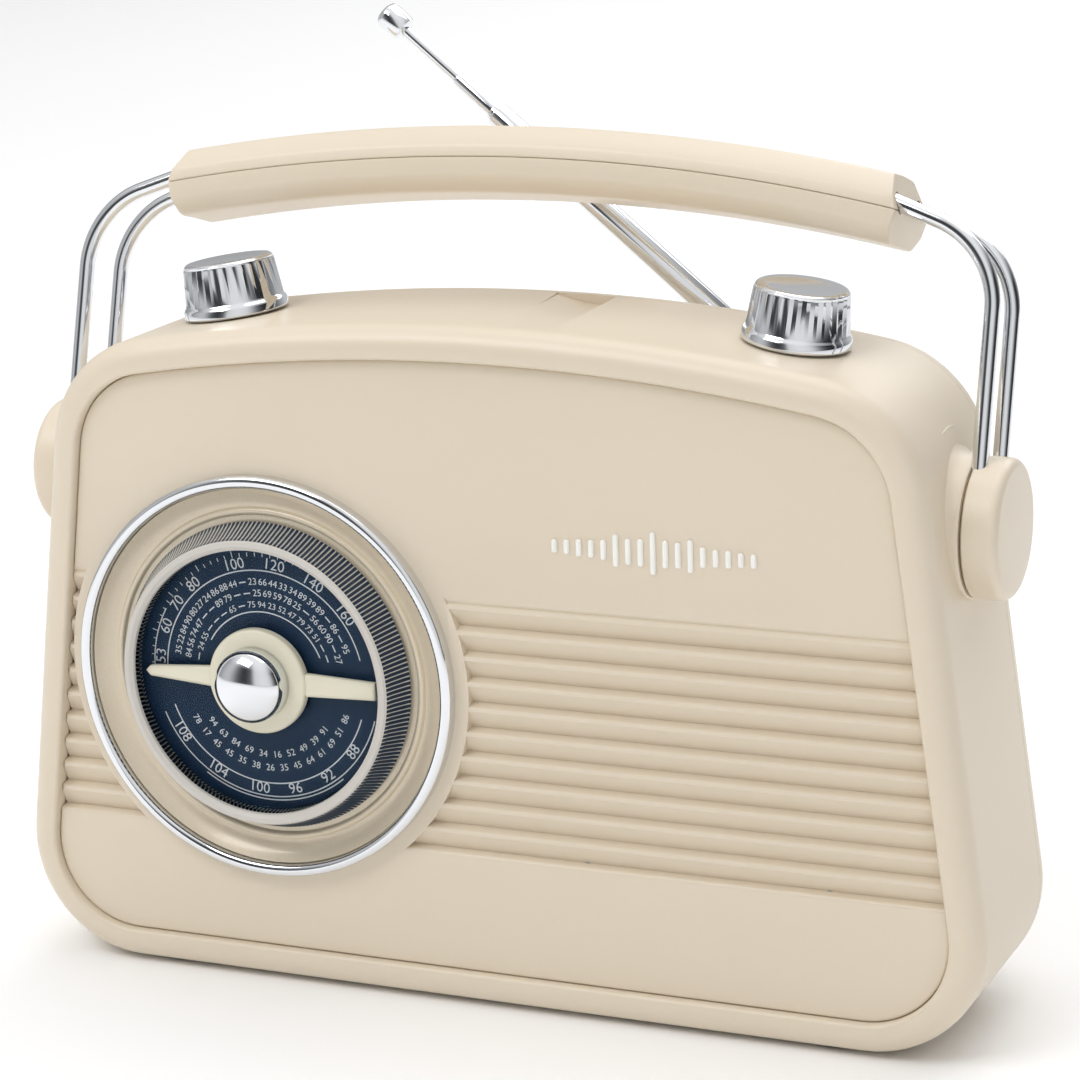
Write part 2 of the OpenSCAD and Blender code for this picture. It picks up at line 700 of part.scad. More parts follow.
module grip_screws()
    color("#8F9296") at_handle()
        for (k = screw_spots)
            translate([k * grip_end_x, 0, grip_under(k * grip_end_x) + 3]) rotate([180, 0, 0])
                screw(1.25, 8, 2.6, 1.6);

// ---- aerial ----

knuckle_r = 5.4;
tongue_t = 4.2;
ear_t = 1.3;
base_start = 4.2;
swivel_r = 2;
bracket_back = channel_front + 1.8;
disc_back = aerial_d - 4;
section_gap = 0.15;
section_len = [for (i = [0:3]) [0, 73, 70, 67][i]];

module aerial_bracket()
    color(chrome) at_aerial_base() rotate([90, 0, 0]) translate([0, 0, aerial_d - bracket_back])
        tube(7, swivel_r + run, 0, bracket_back - channel_front - 0.05);

// The knuckle turns on the bracket and holds the aerial between two ears.
module aerial_knuckle()
    color(chrome) at_aerial() difference() {
        union() {
            rotate([90, 0, 0]) translate([0, 0, aerial_d - disc_back])
                cylinder(r = knuckle_r, h = disc_back - bracket_back - 0.1);
            rotate([90, 0, 0]) translate([0, 0, aerial_d - disc_back])
                cylinder(r = swivel_r, h = disc_back - channel_front - 0.2);
            for (s = [-1, 1])
                translate([s > 0 ? tongue_t / 2 + clear / 2 : -tongue_t / 2 - clear / 2 - ear_t,
                    -(aerial_d - disc_back) - 0.5, -2.6]) {
                    cube([ear_t, aerial_d - disc_back + 0.5, 5.2]);
                    translate([0, aerial_d - disc_back + 0.5, 2.6]) rotate([0, 90, 0])
                        cylinder(r = 2.6, h = ear_t, $fn = 48);
                }
        }
        translate([-10, 0, 0]) rotate([0, 90, 0]) cylinder(r = 1.2, h = 20, $fn = 32);
    }

module aerial_pin()
    color("#8F9296") at_aerial()
        translate([-tongue_t / 2 - clear / 2 - ear_t - 0.3, 0, 0]) rotate([0, 90, 0])
            cylinder(r = 1.15, h = tongue_t + clear + 2 * ear_t + 0.6, $fn = 32);

function section_r(i) = section_dia[i] / 2;
module aerial_base_tube()
    color(chrome) at_aerial() difference() {
        union() {
            rotate([0, 90, 0]) translate([0, 0, -tongue_t / 2]) cylinder(r = 2.5, h = tongue_t, $fn = 48);
            translate([-tongue_t / 2, -2.2, 0]) cube([tongue_t, 4.4, base_start + 0.6]);
            translate([0, 0, base_start]) cylinder(r = section_r(0), h = section_end[0] - base_start,
                $fn = 48);
        }
        translate([-10, 0, 0]) rotate([0, 90, 0]) cylinder(r = 1.2, h = 20, $fn = 32);
        translate([0, 0, base_start + 2]) cylinder(r = section_r(1) + section_gap, h = 200, $fn = 48);
    }

module section(i)
    color(chrome) at_aerial() translate([0, 0, section_end[i] - section_len[i]]) difference() {
        cylinder(r = section_r(i), h = section_len[i], $fn = 48);
        if (i < 3)
            translate([0, 0, -1]) cylinder(r = section_r(i + 1) + section_gap, h = 200, $fn = 48);
    }
module aerial_middle_tube() section(1);
module aerial_upper_tube() section(2);
module aerial_tip_rod() section(3);
module aerial_tip_cap()
    color(chrome) at_aerial() translate([0, 0, section_end[3] + 0.05]) rotate_extrude($fn = 48)
        polygon([[0, 0], [aerial_cap_r - 0.6, 0], [aerial_cap_r, 0.8], [aerial_cap_r, 6],
            [aerial_cap_r - 0.6, 6.8],
            [0, 7.2]]);

// ---- inside: ferrite aerial, transformer, sockets, battery bay ----

ferrite_r = 4.5;
ferrite_d = 37;
ferrite_z = cabinet_h - 22;
clip_x = 34;
module ferrite_rod()
    color("#3A3838") translate([-48, at_d(ferrite_d), ferrite_z]) rotate([0, 90, 0])
        cylinder(r = ferrite_r, h = 96);

module ferrite_coils()
    color("#B5673A")
        for (x = [-20, 14])
            translate([x, at_d(ferrite_d), ferrite_z]) rotate([0, 90, 0])
                tube(ferrite_r + 1, ferrite_r + run, 0, 12);

module ferrite_clips()
    color("#DAD6CC")
        for (s = [-1, 1])
            difference() {
                translate([s * clip_x - 2.5, at_d(ferrite_d - 6.5), ferrite_z - 6.5])
                    cube([5, 13, top_z(clip_x + 2.5) - wall - 0.2 - ferrite_z + 6.5]);
                translate([s * clip_x - 5, at_d(ferrite_d), ferrite_z]) rotate([0, 90, 0])
                    cylinder(r = ferrite_r + run, h = 10);
            }

core_w = 34;
core_h = 28;
core_d = 20;
core_x = side_x(0) - 68;
core_y = at_d(split_d - 30);
core_z = foot_gap + wall + 0.05;
module transformer_core()
    color("#6B6E73") difference() {
        translate([core_x, core_y, core_z]) cube([core_w, core_d, core_h]);
        for (s = [0, 1])
            translate([core_x + (s ? core_w - 12 : 6), core_y - 1, core_z + 5])
                cube([6, core_d + 2, core_h - 10]);
    }

module transformer_coil()
    color("#C79A3A") difference() {
        translate([core_x + 6.2, core_y - 5, core_z + 5.2]) cube([core_w - 12.4, core_d + 10,
            core_h - 10.4]);
        translate([core_x + 11.9, core_y - 0.1, core_z]) cube([core_w - 23.8, core_d + 0.2, core_h]);
        for (s = [0, 1])
            translate([core_x + (s ? core_w - 6.2 : 0), core_y - 0.1, core_z])
                cube([6.2, core_d + 0.2, core_h]);
    }

socket_depth = 11;
module mains_inlet()
    color("#26272A") translate([inlet_x, 0, inlet_z]) difference() {
        union() {
            slab(back_d - 16, back_d) square([inlet_w, inlet_h], center = true);
            slab(back_d - wall - 1.6, back_d - wall - fit) square([inlet_w + 6, inlet_h + 5],
                center = true);
        }
        slab(back_d - socket_depth, back_d + 1) {
            for (s = [-1, 1]) translate([s * 4.3, 0]) circle(r = 4.2);
            square([8.6, 7.6], center = true);
        }
        for (s = [-1, 1]) translate([s * 4.3, 0, 0]) rod_y(1.2, back_d - 19, back_d - socket_depth + 1);
    }

module inlet_pins()
    color("#C9A75A")
        for (s = [-1, 1])
            translate([inlet_x + s * 4.3, 0, inlet_z]) rod_y(1.15, back_d - 18, back_d - 2);

module headphone_jack()
    color("#26272A") translate([inlet_x, 0, jack_z]) difference() {
        union() {
            rod_y(jack_r, back_d - wall - 0.2, back_d);
            slab(back_d - wall - 14, back_d - wall - fit) square([11, 10], center = true);
        }
        rod_y(1.8, back_d - 13, back_d + 1);
    }

tray_low = bay_z - tray_t;
module battery_tray()
    color("#D6CBB5") {
        difference() {
            slab(bay_front - tray_t, bay_back - fit)
                translate([bay_x - tray_t, tray_low]) square([bay_len + 2 * tray_t, bay_h + 2 * tray_t]);
            slab(bay_front, bay_back + 1) translate([bay_x, bay_z]) square([bay_len, bay_h]);
        }
        translate([bay_x + 12, at_d(bay_front - 0.5), bay_z + bay_h / 2 - 0.7])
            cube([bay_len - 24, 12, 1.4]);
    }

rows = [for (r = [0, 1]) bay_z + cell_dia / 2 + 0.5 + r * (cell_dia + 2.4)];
module battery_contacts()
    color("#B9BBBE")
        for (z = rows, e = [0, 1])
            translate([e ? bay_x + bay_len - 0.5 : bay_x + 0.1, at_d(bay_front + cell_dia / 2 - 6),
                z - 6]) cube([0.4, 12, 12]);

module battery_springs()
    color("#C9CCD0")
        for (i = [0, 1])
            translate([i ? bay_x + bay_len - 0.55 : bay_x + 0.55, at_d(bay_front + cell_dia / 2), rows[i]])
                rotate([0, i ? -90 : 90, 0]) cylinder(r1 = 5, r2 = 3.2, h = 3, $fn = 32);

module battery_door()
    color(cream) difference() {
        union() {
            slab(back_d - wall, back_d) door_shape();
            slab(back_d - wall - 0.06, back_d - wall + 0.5) translate([bay_x + bay_len / 2 - 12,
                bay_z + 2]) square([24, 6]);
        }
        slab(back_d - 1, back_d + 1) translate([bay_x + bay_len / 2 - 9, bay_z + bay_h - 6])
            square([18, 4]);
        for (i = [0:3])
            slab(back_d - 0.6, back_d + 1) translate([bay_x + bay_len / 2 - 9, bay_z +
                bay_h - 9.5 - i * 2]) square([18, 0.9]);
    }

front_housing();
rear_housing();
grille_panel();
badge();
rubber_feet();
housing_screws();
dial_ring();
dial_dish();
dial_plate();
tuning_knob();
pointer();
hub_cap();
tuning_shaft();
tuning_capacitor();
main_board();
board_screws();
board_parts();
speaker_frame();
speaker_cone();
speaker_magnet();
speaker_screws();
volume_knob();
volume_shaft();
volume_pot();
band_knob();
band_shaft();
band_switch();
shaft_nuts();
pivot_boss_left();
pivot_boss_right();
pivot_washers();
pivot_disc_left();
pivot_disc_right();
pivot_pins();
pivot_clips();
rods_left();
rods_right();
grip_upper();
grip_lower();
grip_screws();
aerial_bracket();
aerial_knuckle();
aerial_pin();
aerial_base_tube();
aerial_middle_tube();
aerial_upper_tube();
aerial_tip_rod();
aerial_tip_cap();
ferrite_rod();
ferrite_coils();
ferrite_clips();
transformer_core();
transformer_coil();
mains_inlet();
inlet_pins();
headphone_jack();
battery_tray();
battery_contacts();
battery_springs();
battery_door();
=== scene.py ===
"""A cream tabletop radio with a round dial, a folding handle and a telescopic aerial.

Everything is in metres. X runs across the front, +Y to the back, +Z up.
"""
import json
import math
import random

import bpy
from mathutils import Matrix, Vector


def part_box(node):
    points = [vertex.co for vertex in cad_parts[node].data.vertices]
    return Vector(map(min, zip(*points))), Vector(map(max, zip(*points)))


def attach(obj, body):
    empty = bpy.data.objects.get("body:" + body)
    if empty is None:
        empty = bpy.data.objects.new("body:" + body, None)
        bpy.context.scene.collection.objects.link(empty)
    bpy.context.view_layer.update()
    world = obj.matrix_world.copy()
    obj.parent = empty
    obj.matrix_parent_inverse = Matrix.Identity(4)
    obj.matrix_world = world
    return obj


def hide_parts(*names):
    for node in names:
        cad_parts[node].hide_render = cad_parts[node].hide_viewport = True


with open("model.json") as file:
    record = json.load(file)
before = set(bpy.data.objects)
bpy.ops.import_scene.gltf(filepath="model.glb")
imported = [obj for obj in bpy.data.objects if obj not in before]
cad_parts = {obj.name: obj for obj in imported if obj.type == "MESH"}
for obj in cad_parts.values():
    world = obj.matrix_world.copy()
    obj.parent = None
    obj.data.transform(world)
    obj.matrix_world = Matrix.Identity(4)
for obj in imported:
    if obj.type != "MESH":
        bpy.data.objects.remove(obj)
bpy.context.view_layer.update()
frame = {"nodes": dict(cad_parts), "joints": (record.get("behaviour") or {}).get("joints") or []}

# ---- Studio ----
# A pale sweep of paper that the radio stands on, lit by three soft boxes: the key above and to the left, a
# weaker one overhead, and one far behind for the paper. White and dark cards stand round it, as bands in
# the sky, so that the chrome has something to mirror.
MM = 0.001


def linear(code, alpha=1.0):
    """An sRGB hex colour as the linear values that shaders take."""
    parts = [int(code[i:i + 2], 16) / 255 for i in (1, 3, 5)]
    return [c / 12.92 if c <= 0.04045 else ((c + 0.055) / 1.055) ** 2.4 for c in parts] + [alpha]


def node(tree, kind, settings=None, links=None):
    """Adds a shader node, sets its inputs or properties, and links the outputs given to its inputs."""
    made = tree.nodes.new(kind)
    for key, value in (settings or {}).items():
        if key in made.inputs:
            made.inputs[key].default_value = value
        else:
            setattr(made, key, value)
    for key, socket in (links or {}).items():
        tree.links.new(socket, made.inputs[key])
    return made


def new_material(name):
    """An empty material: its tree, its Principled shader and its Object coordinates."""
    material = bpy.data.materials.new(name)
    material.use_nodes = True
    tree = material.node_tree
    tree.nodes.clear()
    shader = node(tree, "ShaderNodeBsdfPrincipled")
    node(tree, "ShaderNodeOutputMaterial", links={"Surface": shader.outputs["BSDF"]})
    place = node(tree, "ShaderNodeTexCoord").outputs["Object"]
    return material, tree, shader, place


paper, tree, shader, place = new_material("matt studio paper")
shader.inputs["Base Color"].default_value = linear("#FDFDFD")
shader.inputs["Roughness"].default_value = 0.9
bpy.ops.object.select_all(action="DESELECT")
bpy.ops.mesh.primitive_plane_add(size=6.0)
bpy.ops.object.mode_set(mode="EDIT")
bpy.ops.mesh.subdivide(number_cuts=3)
bpy.ops.object.mode_set(mode="OBJECT")
floor = bpy.context.object
floor.name = "studio_floor"
floor.data.materials.append(paper)

world = bpy.data.worlds.new("studio")
bpy.context.scene.world = world
world.use_nodes = True
sky = world.node_tree
around = node(sky, "ShaderNodeTexGradient", {"gradient_type": "RADIAL"},
              {"Vector": node(sky, "ShaderNodeTexCoord").outputs["Generated"]})
cards = node(sky, "ShaderNodeValToRGB", links={"Fac": around.outputs["Fac"]})
cards.color_ramp.interpolation = "B_SPLINE"
for spot, grey in ((0.0, "#8A8C90"), (0.10, "#E8E8E8"), (0.16, "#303236"), (0.24, "#101114"),
                   (0.27, "#F4F4F4"), (0.39, "#F4F4F4"), (0.46, "#141518"), (0.55, "#26272A"),
                   (0.63, "#77797C"), (0.74, "#F0F0F0"), (0.90, "#3A3C40")):
    stop = cards.color_ramp.elements.new(spot)
    stop.color = linear(grey)
height = node(sky, "ShaderNodeSeparateXYZ",
              links={"Vector": node(sky, "ShaderNodeTexCoord").outputs["Generated"]})
lift = node(sky, "ShaderNodeMapRange", {"From Min": 0.5, "From Max": 0.9, "To Min": 0.0, "To Max": 1.0},
            {"Value": height.outputs["Z"]})
overhead = node(sky, "ShaderNodeMix", {"data_type": "RGBA"}, {"Factor": lift.outputs["Result"]})
sky.links.new(cards.outputs["Color"], overhead.inputs[6])
overhead.inputs[7].default_value = linear("#FFFFFF")
sky.links.new(overhead.outputs[2], sky.nodes["Background"].inputs["Color"])
sky.nodes["Background"].inputs["Strength"].default_value = 1.0


def soft_box(name, place_at, aim, size, watts):
    """An area light that faces a point."""
    light = bpy.data.lights.new(name, "AREA")
    light.shape = "RECTANGLE"
    light.size, light.size_y = size
    light.energy = watts
    holder = bpy.data.objects.new(name, light)
    bpy.context.scene.collection.objects.link(holder)
    holder.location = place_at
    holder.rotation_euler = (Vector(aim) - Vector(place_at)).to_track_quat("-Z", "Y").to_euler()


middle = (0, 0, 0.1)
soft_box("key_box", (-0.55, -0.85, 1.25), middle, (0.9, 0.6), 7)
soft_box("top_box", (0.1, 0.25, 1.3), middle, (1.0, 0.8), 4)
soft_box("back_box", (0.3, 2.2, 1.6), (0, 1.2, 0), (2.0, 1.2), 16)

# The camera: 24 degrees round to the right, 15 degrees above, a long lens.
camera_data = bpy.data.cameras.new("camera")
camera_data.lens = 118.1
camera_data.sensor_width = 36
camera = bpy.data.objects.new("camera", camera_data)
bpy.context.scene.collection.objects.link(camera)
azimuth, elevation, roll = math.radians(23.76), math.radians(14.59), math.radians(-1.82)
front_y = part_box("front_housing")[0].y
camera.location = (320.4 * MM, front_y - 686.4 * MM, 307.8 * MM)
look = Matrix.Rotation(azimuth, 4, "Z") @ Matrix.Rotation(math.pi / 2 - elevation, 4, "X")
camera.matrix_world = Matrix.Translation(camera.location) @ look @ Matrix.Rotation(roll, 4, "Z")
bpy.context.scene.camera = camera
bpy.context.scene.view_settings.view_transform = "Standard"

# ---- Front housing ----
# Injection-moulded ABS in cream: one shell makes the rounded rim, the sides, the arched top and the base.
# Its outline is a trapezium with leaning sides, wide corner arcs and one long arc for the crown.
LEAN = math.radians(7.4)
CROWN_R = 490 * MM
CORNER_R = 28 * MM
EDGE_R = 5.5 * MM
WALL = 2.4 * MM
housing_low, housing_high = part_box("front_housing")
split_y = housing_high.y
base_z = housing_low.z
crown_z = housing_high.z
foot_half = 122.3 * MM
crown_mid_z = crown_z - CROWN_R


def start(x=0.0, y=0.0, z=0.0):
    """Deselects everything and starts a mesh from a single vertex, left selected in edit mode."""
    if bpy.context.object and bpy.context.object.mode == "EDIT":
        bpy.ops.object.mode_set(mode="OBJECT")
    bpy.ops.object.select_all(action="DESELECT")
    bpy.ops.mesh.primitive_plane_add(size=MM)
    bpy.ops.object.mode_set(mode="EDIT")
    bpy.ops.mesh.select_mode(type="VERT")
    bpy.ops.mesh.merge(type="CENTER")
    bpy.ops.transform.translate(value=(x, y, z))


def trace(spots, fill=False):
    """Draws a chain of vertices through points, closed by a face if fill is set, and leaves it selected."""
    start(*spots[0])
    for before, after in zip(spots, spots[1:]):
        bpy.ops.mesh.extrude_vertices_move(TRANSFORM_OT_translate={"value": after - before})
    bpy.ops.mesh.select_all(action="SELECT")
    if fill:
        bpy.ops.mesh.edge_face_add()


def outline_arcs():
    """Centres of the outline's two corner arcs on the right half, from the base upwards, and the angle where
    the crown begins.
    """
    cos_l, sin_l = math.cos(LEAN), math.sin(LEAN)
    low_z = base_z + CORNER_R
    low_x = foot_half - (CORNER_R + low_z * sin_l) / cos_l
    reach = foot_half * cos_l - CORNER_R - crown_mid_z * sin_l
    along = math.sqrt((CROWN_R - CORNER_R) ** 2 - reach ** 2)
    high_x = reach * cos_l - along * sin_l
    high_z = crown_mid_z + reach * sin_l + along * cos_l
    turn = math.atan2(high_z - crown_mid_z, high_x)
    return (low_x, low_z), (high_x, high_z), turn


def draw_outline(y, inset):
    """Draws the cabinet's outline in the plane y, drawn in by inset, by spinning a vertex round each arc."""
    (low_x, low_z), (high_x, high_z), turn = outline_arcs()
    r = CORNER_R - inset
    crown = (0, y, crown_mid_z)
    arcs = [
        ((low_x, y, low_z), r, -math.pi / 2, LEAN, 18),
        ((high_x, y, high_z), r, LEAN, turn, 16),
        (crown, CROWN_R - inset, turn, math.pi - turn, 64),
        ((-high_x, y, high_z), r, math.pi - turn, math.pi - LEAN, 16),
        ((-low_x, y, low_z), r, math.pi - LEAN, 1.5 * math.pi, 18),
    ]
    start(low_x, y, low_z - r)
    for number, (centre, radius, begin, end, steps) in enumerate(arcs):
        first = Vector((centre[0] + radius * math.cos(begin), y, centre[2] + radius * math.sin(begin)))
        if number:
            here = Vector((last[0] + last_r * math.cos(last_a), y, last[2] + last_r * math.sin(last_a)))
            if (first - here).length > 1e-6:
                bpy.ops.mesh.extrude_vertices_move(TRANSFORM_OT_translate={"value": first - here})
        bpy.ops.mesh.spin(steps=steps, angle=end - begin, center=centre, axis=(0, 1, 0))
        last, last_r, last_a = centre, radius, end
    bpy.ops.mesh.select_all(action="SELECT")
    bpy.ops.mesh.remove_doubles(threshold=1e-6)
    bpy.ops.mesh.edge_face_add()


def step_in(moves, towards):
    """Insets the selected face and moves it along Y to each (inset, depth) pair, measured from the start."""
    was_in, was_y = 0.0, 0.0
    for now_in, now_y in moves:
        if now_in - was_in > 1e-7:
            bpy.ops.mesh.inset(thickness=now_in - was_in, use_even_offset=True)
        else:
            bpy.ops.mesh.extrude_region_move()
        if abs(now_y - was_y) > 1e-9:
            bpy.ops.transform.translate(value=(0, towards * (now_y - was_y), 0))
        was_in, was_y = now_in, now_y


def rounded(radius, steps=7):
    """(inset, rise) pairs round a quarter turn."""
    quarter = [math.pi / 2 * i / steps for i in range(1, steps + 1)]
    return [(radius * (1 - math.cos(a)), radius * math.sin(a)) for a in quarter]


def cut(piece, tool, how="DIFFERENCE"):
    """Cuts one mesh with another, takes the tool away and leaves the piece active."""
    bpy.ops.object.mode_set(mode="OBJECT")
    bpy.ops.object.select_all(action="DESELECT")
    bpy.context.view_layer.objects.active = piece
    piece.select_set(True)
    boolean = piece.modifiers.new("cut", "BOOLEAN")
    boolean.object = tool
    boolean.operation = how
    boolean.solver = "EXACT"
    bpy.ops.object.modifier_apply(modifier="cut")
    bpy.data.objects.remove(tool)


def close_up():
    """Ends edit mode on a closed form with its faces outwards, ready to cut or be cut."""
    bpy.ops.mesh.select_all(action="SELECT")
    bpy.ops.mesh.remove_doubles(threshold=1e-6)
    bpy.ops.mesh.normals_make_consistent(inside=False)
    bpy.ops.object.mode_set(mode="OBJECT")
    return bpy.context.object


def finish_piece(name, material, body="root", sharp=30.0, replaces=()):
    """Ends a piece: faces outwards, smooth up to an angle, named, coloured and riding on its body."""
    piece = bpy.context.object
    if piece.mode != "EDIT":
        bpy.ops.object.mode_set(mode="EDIT")
    bpy.ops.mesh.select_all(action="SELECT")
    bpy.ops.mesh.remove_doubles(threshold=1e-6)
    bpy.ops.mesh.normals_make_consistent(inside=False)
    bpy.ops.object.mode_set(mode="OBJECT")
    bpy.ops.object.shade_smooth_by_angle(angle=math.radians(sharp))
    piece.name = name
    piece.data.name = name
    piece.data.materials.clear()
    piece.data.materials.append(material)
    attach(piece, body)
    if replaces:
        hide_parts(*replaces)
    return piece


def mottled(name, dark, pale, scale, detail=2.0):
    """A material whose colour drifts between two tones, in patches of about 1 / scale metres."""
    material, tree, shader, place = new_material(name)
    noise = node(tree, "ShaderNodeTexNoise", {"Scale": scale, "Detail": detail}, {"Vector": place})
    tone = node(tree, "ShaderNodeValToRGB", links={"Fac": noise.outputs["Fac"]})
    tone.color_ramp.elements[0].color = linear(dark)
    tone.color_ramp.elements[1].color = linear(pale)
    tree.links.new(tone.outputs["Color"], shader.inputs["Base Color"])
    return material, tree, shader, place, noise


# ABS from a finely spark-eroded mould: a satin skin with a grain of about 0.3 mm, a little light under the
# surface, and a slow drift of tone from the resin's flow, which keeps large faces from looking painted.
cream_abs, tree, shader, place, _ = mottled("cream moulded ABS, satin", "#DDD0BB", "#E3D6C2", 9.0)
grain = node(tree, "ShaderNodeTexNoise", {"Scale": 3000.0, "Detail": 3.0, "Roughness": 0.6},
             {"Vector": place})
skin = node(tree, "ShaderNodeBump", {"Strength": 0.12, "Distance": 0.00004}, {"Height": grain.outputs["Fac"]})
tree.links.new(skin.outputs["Normal"], shader.inputs["Normal"])
shine = node(tree, "ShaderNodeMapRange", {"To Min": 0.34, "To Max": 0.44}, {"Value": grain.outputs["Fac"]})
tree.links.new(shine.outputs["Result"], shader.inputs["Roughness"])
shader.inputs["IOR"].default_value = 1.53
shader.inputs["Subsurface Weight"].default_value = 0.08
shader.inputs["Subsurface Radius"].default_value = (0.002, 0.0015, 0.001)
shader.inputs["Coat Weight"].default_value = 0.15
shader.inputs["Coat Roughness"].default_value = 0.28

PANEL_IN = 7.6 * MM
PANEL_DEEP = 2.0 * MM
LIP_R = 0.9 * MM
draw_outline(split_y, 0.0)
depth = split_y - front_y
rim = [(0.0, depth - EDGE_R)]
rim += [(i, depth - EDGE_R + rise) for i, rise in rounded(EDGE_R, 9)]
rim += [(PANEL_IN - LIP_R, depth)]
rim += [(PANEL_IN - LIP_R + LIP_R * math.sin(a), depth - LIP_R * (1 - math.cos(a)))
        for a in (math.pi / 8, math.pi / 4, 3 * math.pi / 8, math.pi / 2)]
rim += [(PANEL_IN + 0.01 * MM, depth - PANEL_DEEP - 2.2 * MM)]
step_in(rim, -1)
bpy.ops.mesh.delete(type="FACE")
shell = close_up()

# The back of the shell is open, and the rear housing closes it. An inner skin, joined to the rim in front,
# gives the wall its thickness.
SKIN_FRONT = 8 * MM
bpy.ops.object.mode_set(mode="EDIT")
bpy.ops.mesh.select_mode(type="FACE")
bpy.ops.mesh.select_all(action="DESELECT")
bpy.ops.object.mode_set(mode="OBJECT")
for face in shell.data.polygons:
    face.select = abs(face.center.y - split_y) < 1e-6 and abs(face.normal.y) > 0.9
bpy.ops.object.mode_set(mode="EDIT")
bpy.ops.mesh.inset(thickness=WALL, use_even_offset=True)
bpy.ops.mesh.extrude_region_move(TRANSFORM_OT_translate={"value": (0, front_y + SKIN_FRONT - split_y, 0)})
bpy.ops.mesh.delete(type="FACE")
bpy.ops.mesh.select_mode(type="EDGE")
bpy.ops.mesh.select_all(action="DESELECT")
bpy.ops.mesh.select_non_manifold()
bpy.ops.mesh.bridge_edge_loops()
bpy.ops.mesh.select_mode(type="VERT")

# The finger scoop in the crown is a shallow wedge with a soft left side and a crisp right lip, wider and
# deeper to the back. Its section is given as (across, up) in mm from the lip's foot.
SCOOP_X, SCOOP_W = 14 * MM, 11 * MM
SCOOP_WIDENS = 1.35
front_housing = close_up()
scoop_front = front_y + 6 * MM
scoop_z = crown_mid_z + math.sqrt(CROWN_R ** 2 - SCOOP_X ** 2)
scoop_right = SCOOP_X + SCOOP_W / 2
scoop_section = [(-11, 0.7), (-6.05, -0.8), (-1.1, -1.5), (0, -1.4), (0.25, 4.6), (-11, 4.6)]
trace([Vector((scoop_right + u * MM, scoop_front, scoop_z + v * MM)) for u, v in scoop_section], fill=True)
bpy.ops.mesh.extrude_region_move(
    TRANSFORM_OT_translate={"value": (-0.6 * MM, split_y - scoop_front + 5 * MM, -1.0 * MM)})
bpy.ops.transform.resize(value=(SCOOP_WIDENS, 1, 1), center_override=(scoop_right, split_y, scoop_z))
cut(front_housing, close_up())
finish_piece("cabinet_front", cream_abs, replaces=["front_housing"])

# ---- Front panel ----
# A separate ABS moulding, clipped into the rim with a fine seam round it. Ten louvre slats cross it over the
# loudspeaker, each from a rounded crest back to a dark corner; a smooth ring is left round the dial.
SEAM = 0.16 * MM
panel_y = front_y + PANEL_DEEP
SLATS = 10
SLAT_PITCH = 5.9 * MM
TOP_CREST_Z = 94.8 * MM
SLAT_DEEP = 2.7 * MM
PANEL_THICK = 3.6 * MM
CREST_R = 0.9 * MM
ring_low, ring_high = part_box("dial_ring")
dial_x = (ring_low.x + ring_high.x) / 2
dial_z = (ring_low.z + ring_high.z) / 2
ring_out = (ring_high.x - ring_low.x) / 2
COLLAR_R = ring_out + 3.2 * MM

draw_outline(panel_y + PANEL_THICK, PANEL_IN + SEAM)
PANEL_EDGE = 0.7 * MM
step_in([(0.0, PANEL_THICK - PANEL_EDGE)]
        + [(i, PANEL_THICK - PANEL_EDGE + rise) for i, rise in rounded(PANEL_EDGE, 4)], -1)
panel = close_up()

# The slats are cut by one long form whose front is clear of the panel and whose back is the louvre profile.
louvre = [(TOP_CREST_Z + 2.3 * MM, -0.02 * MM), (TOP_CREST_Z + CREST_R, 0.75 * MM)]
for slat in range(SLATS):
    crest_z = TOP_CREST_Z - slat * SLAT_PITCH
    for turn in (20, 50, 80, 110, 140):
        a = math.radians(turn)
        louvre.append((crest_z + CREST_R * math.cos(a) * 0.8, CREST_R * (1 - math.sin(a)) - 0.15 * MM))
    foot_z = crest_z - SLAT_PITCH + CREST_R
    louvre.append((foot_z + 1.6 * MM, SLAT_DEEP * 0.72))
    louvre.append((foot_z + 0.35 * MM, SLAT_DEEP))
last_z = TOP_CREST_Z - SLATS * SLAT_PITCH
louvre += [(last_z + 0.8 * MM, 0.5 * MM), (last_z + 0.4 * MM, 0.12 * MM), (last_z, -0.02 * MM)]
louvre += [(last_z, -3.02 * MM), (louvre[0][0], -3.02 * MM)]
trace([Vector((-foot_half, panel_y + deep, z)) for z, deep in louvre], fill=True)
bpy.ops.mesh.extrude_region_move(TRANSFORM_OT_translate={"value": (2 * foot_half, 0, 0)})
slat_form = close_up()


def disc_tool(x, y, z, radius, y_end, count=96):
    """A cylinder along Y between two depths, to cut with."""
    bpy.ops.object.select_all(action="DESELECT")
    bpy.ops.mesh.primitive_cylinder_add(vertices=count, radius=radius, depth=y_end - y,
                                        location=(x, (y + y_end) / 2, z), rotation=(math.pi / 2, 0, 0))
    bpy.ops.object.transform_apply()
    return bpy.context.object


cut(slat_form, disc_tool(dial_x, panel_y - 10 * MM, dial_z, COLLAR_R, panel_y + 10 * MM, 160))
cut(panel, slat_form)
cut(panel, disc_tool(dial_x, panel_y - 10 * MM, dial_z, ring_out - 0.6 * MM, panel_y + 10 * MM, 160))
finish_piece("louvred_front_panel", cream_abs, sharp=38, replaces=["grille_panel"])

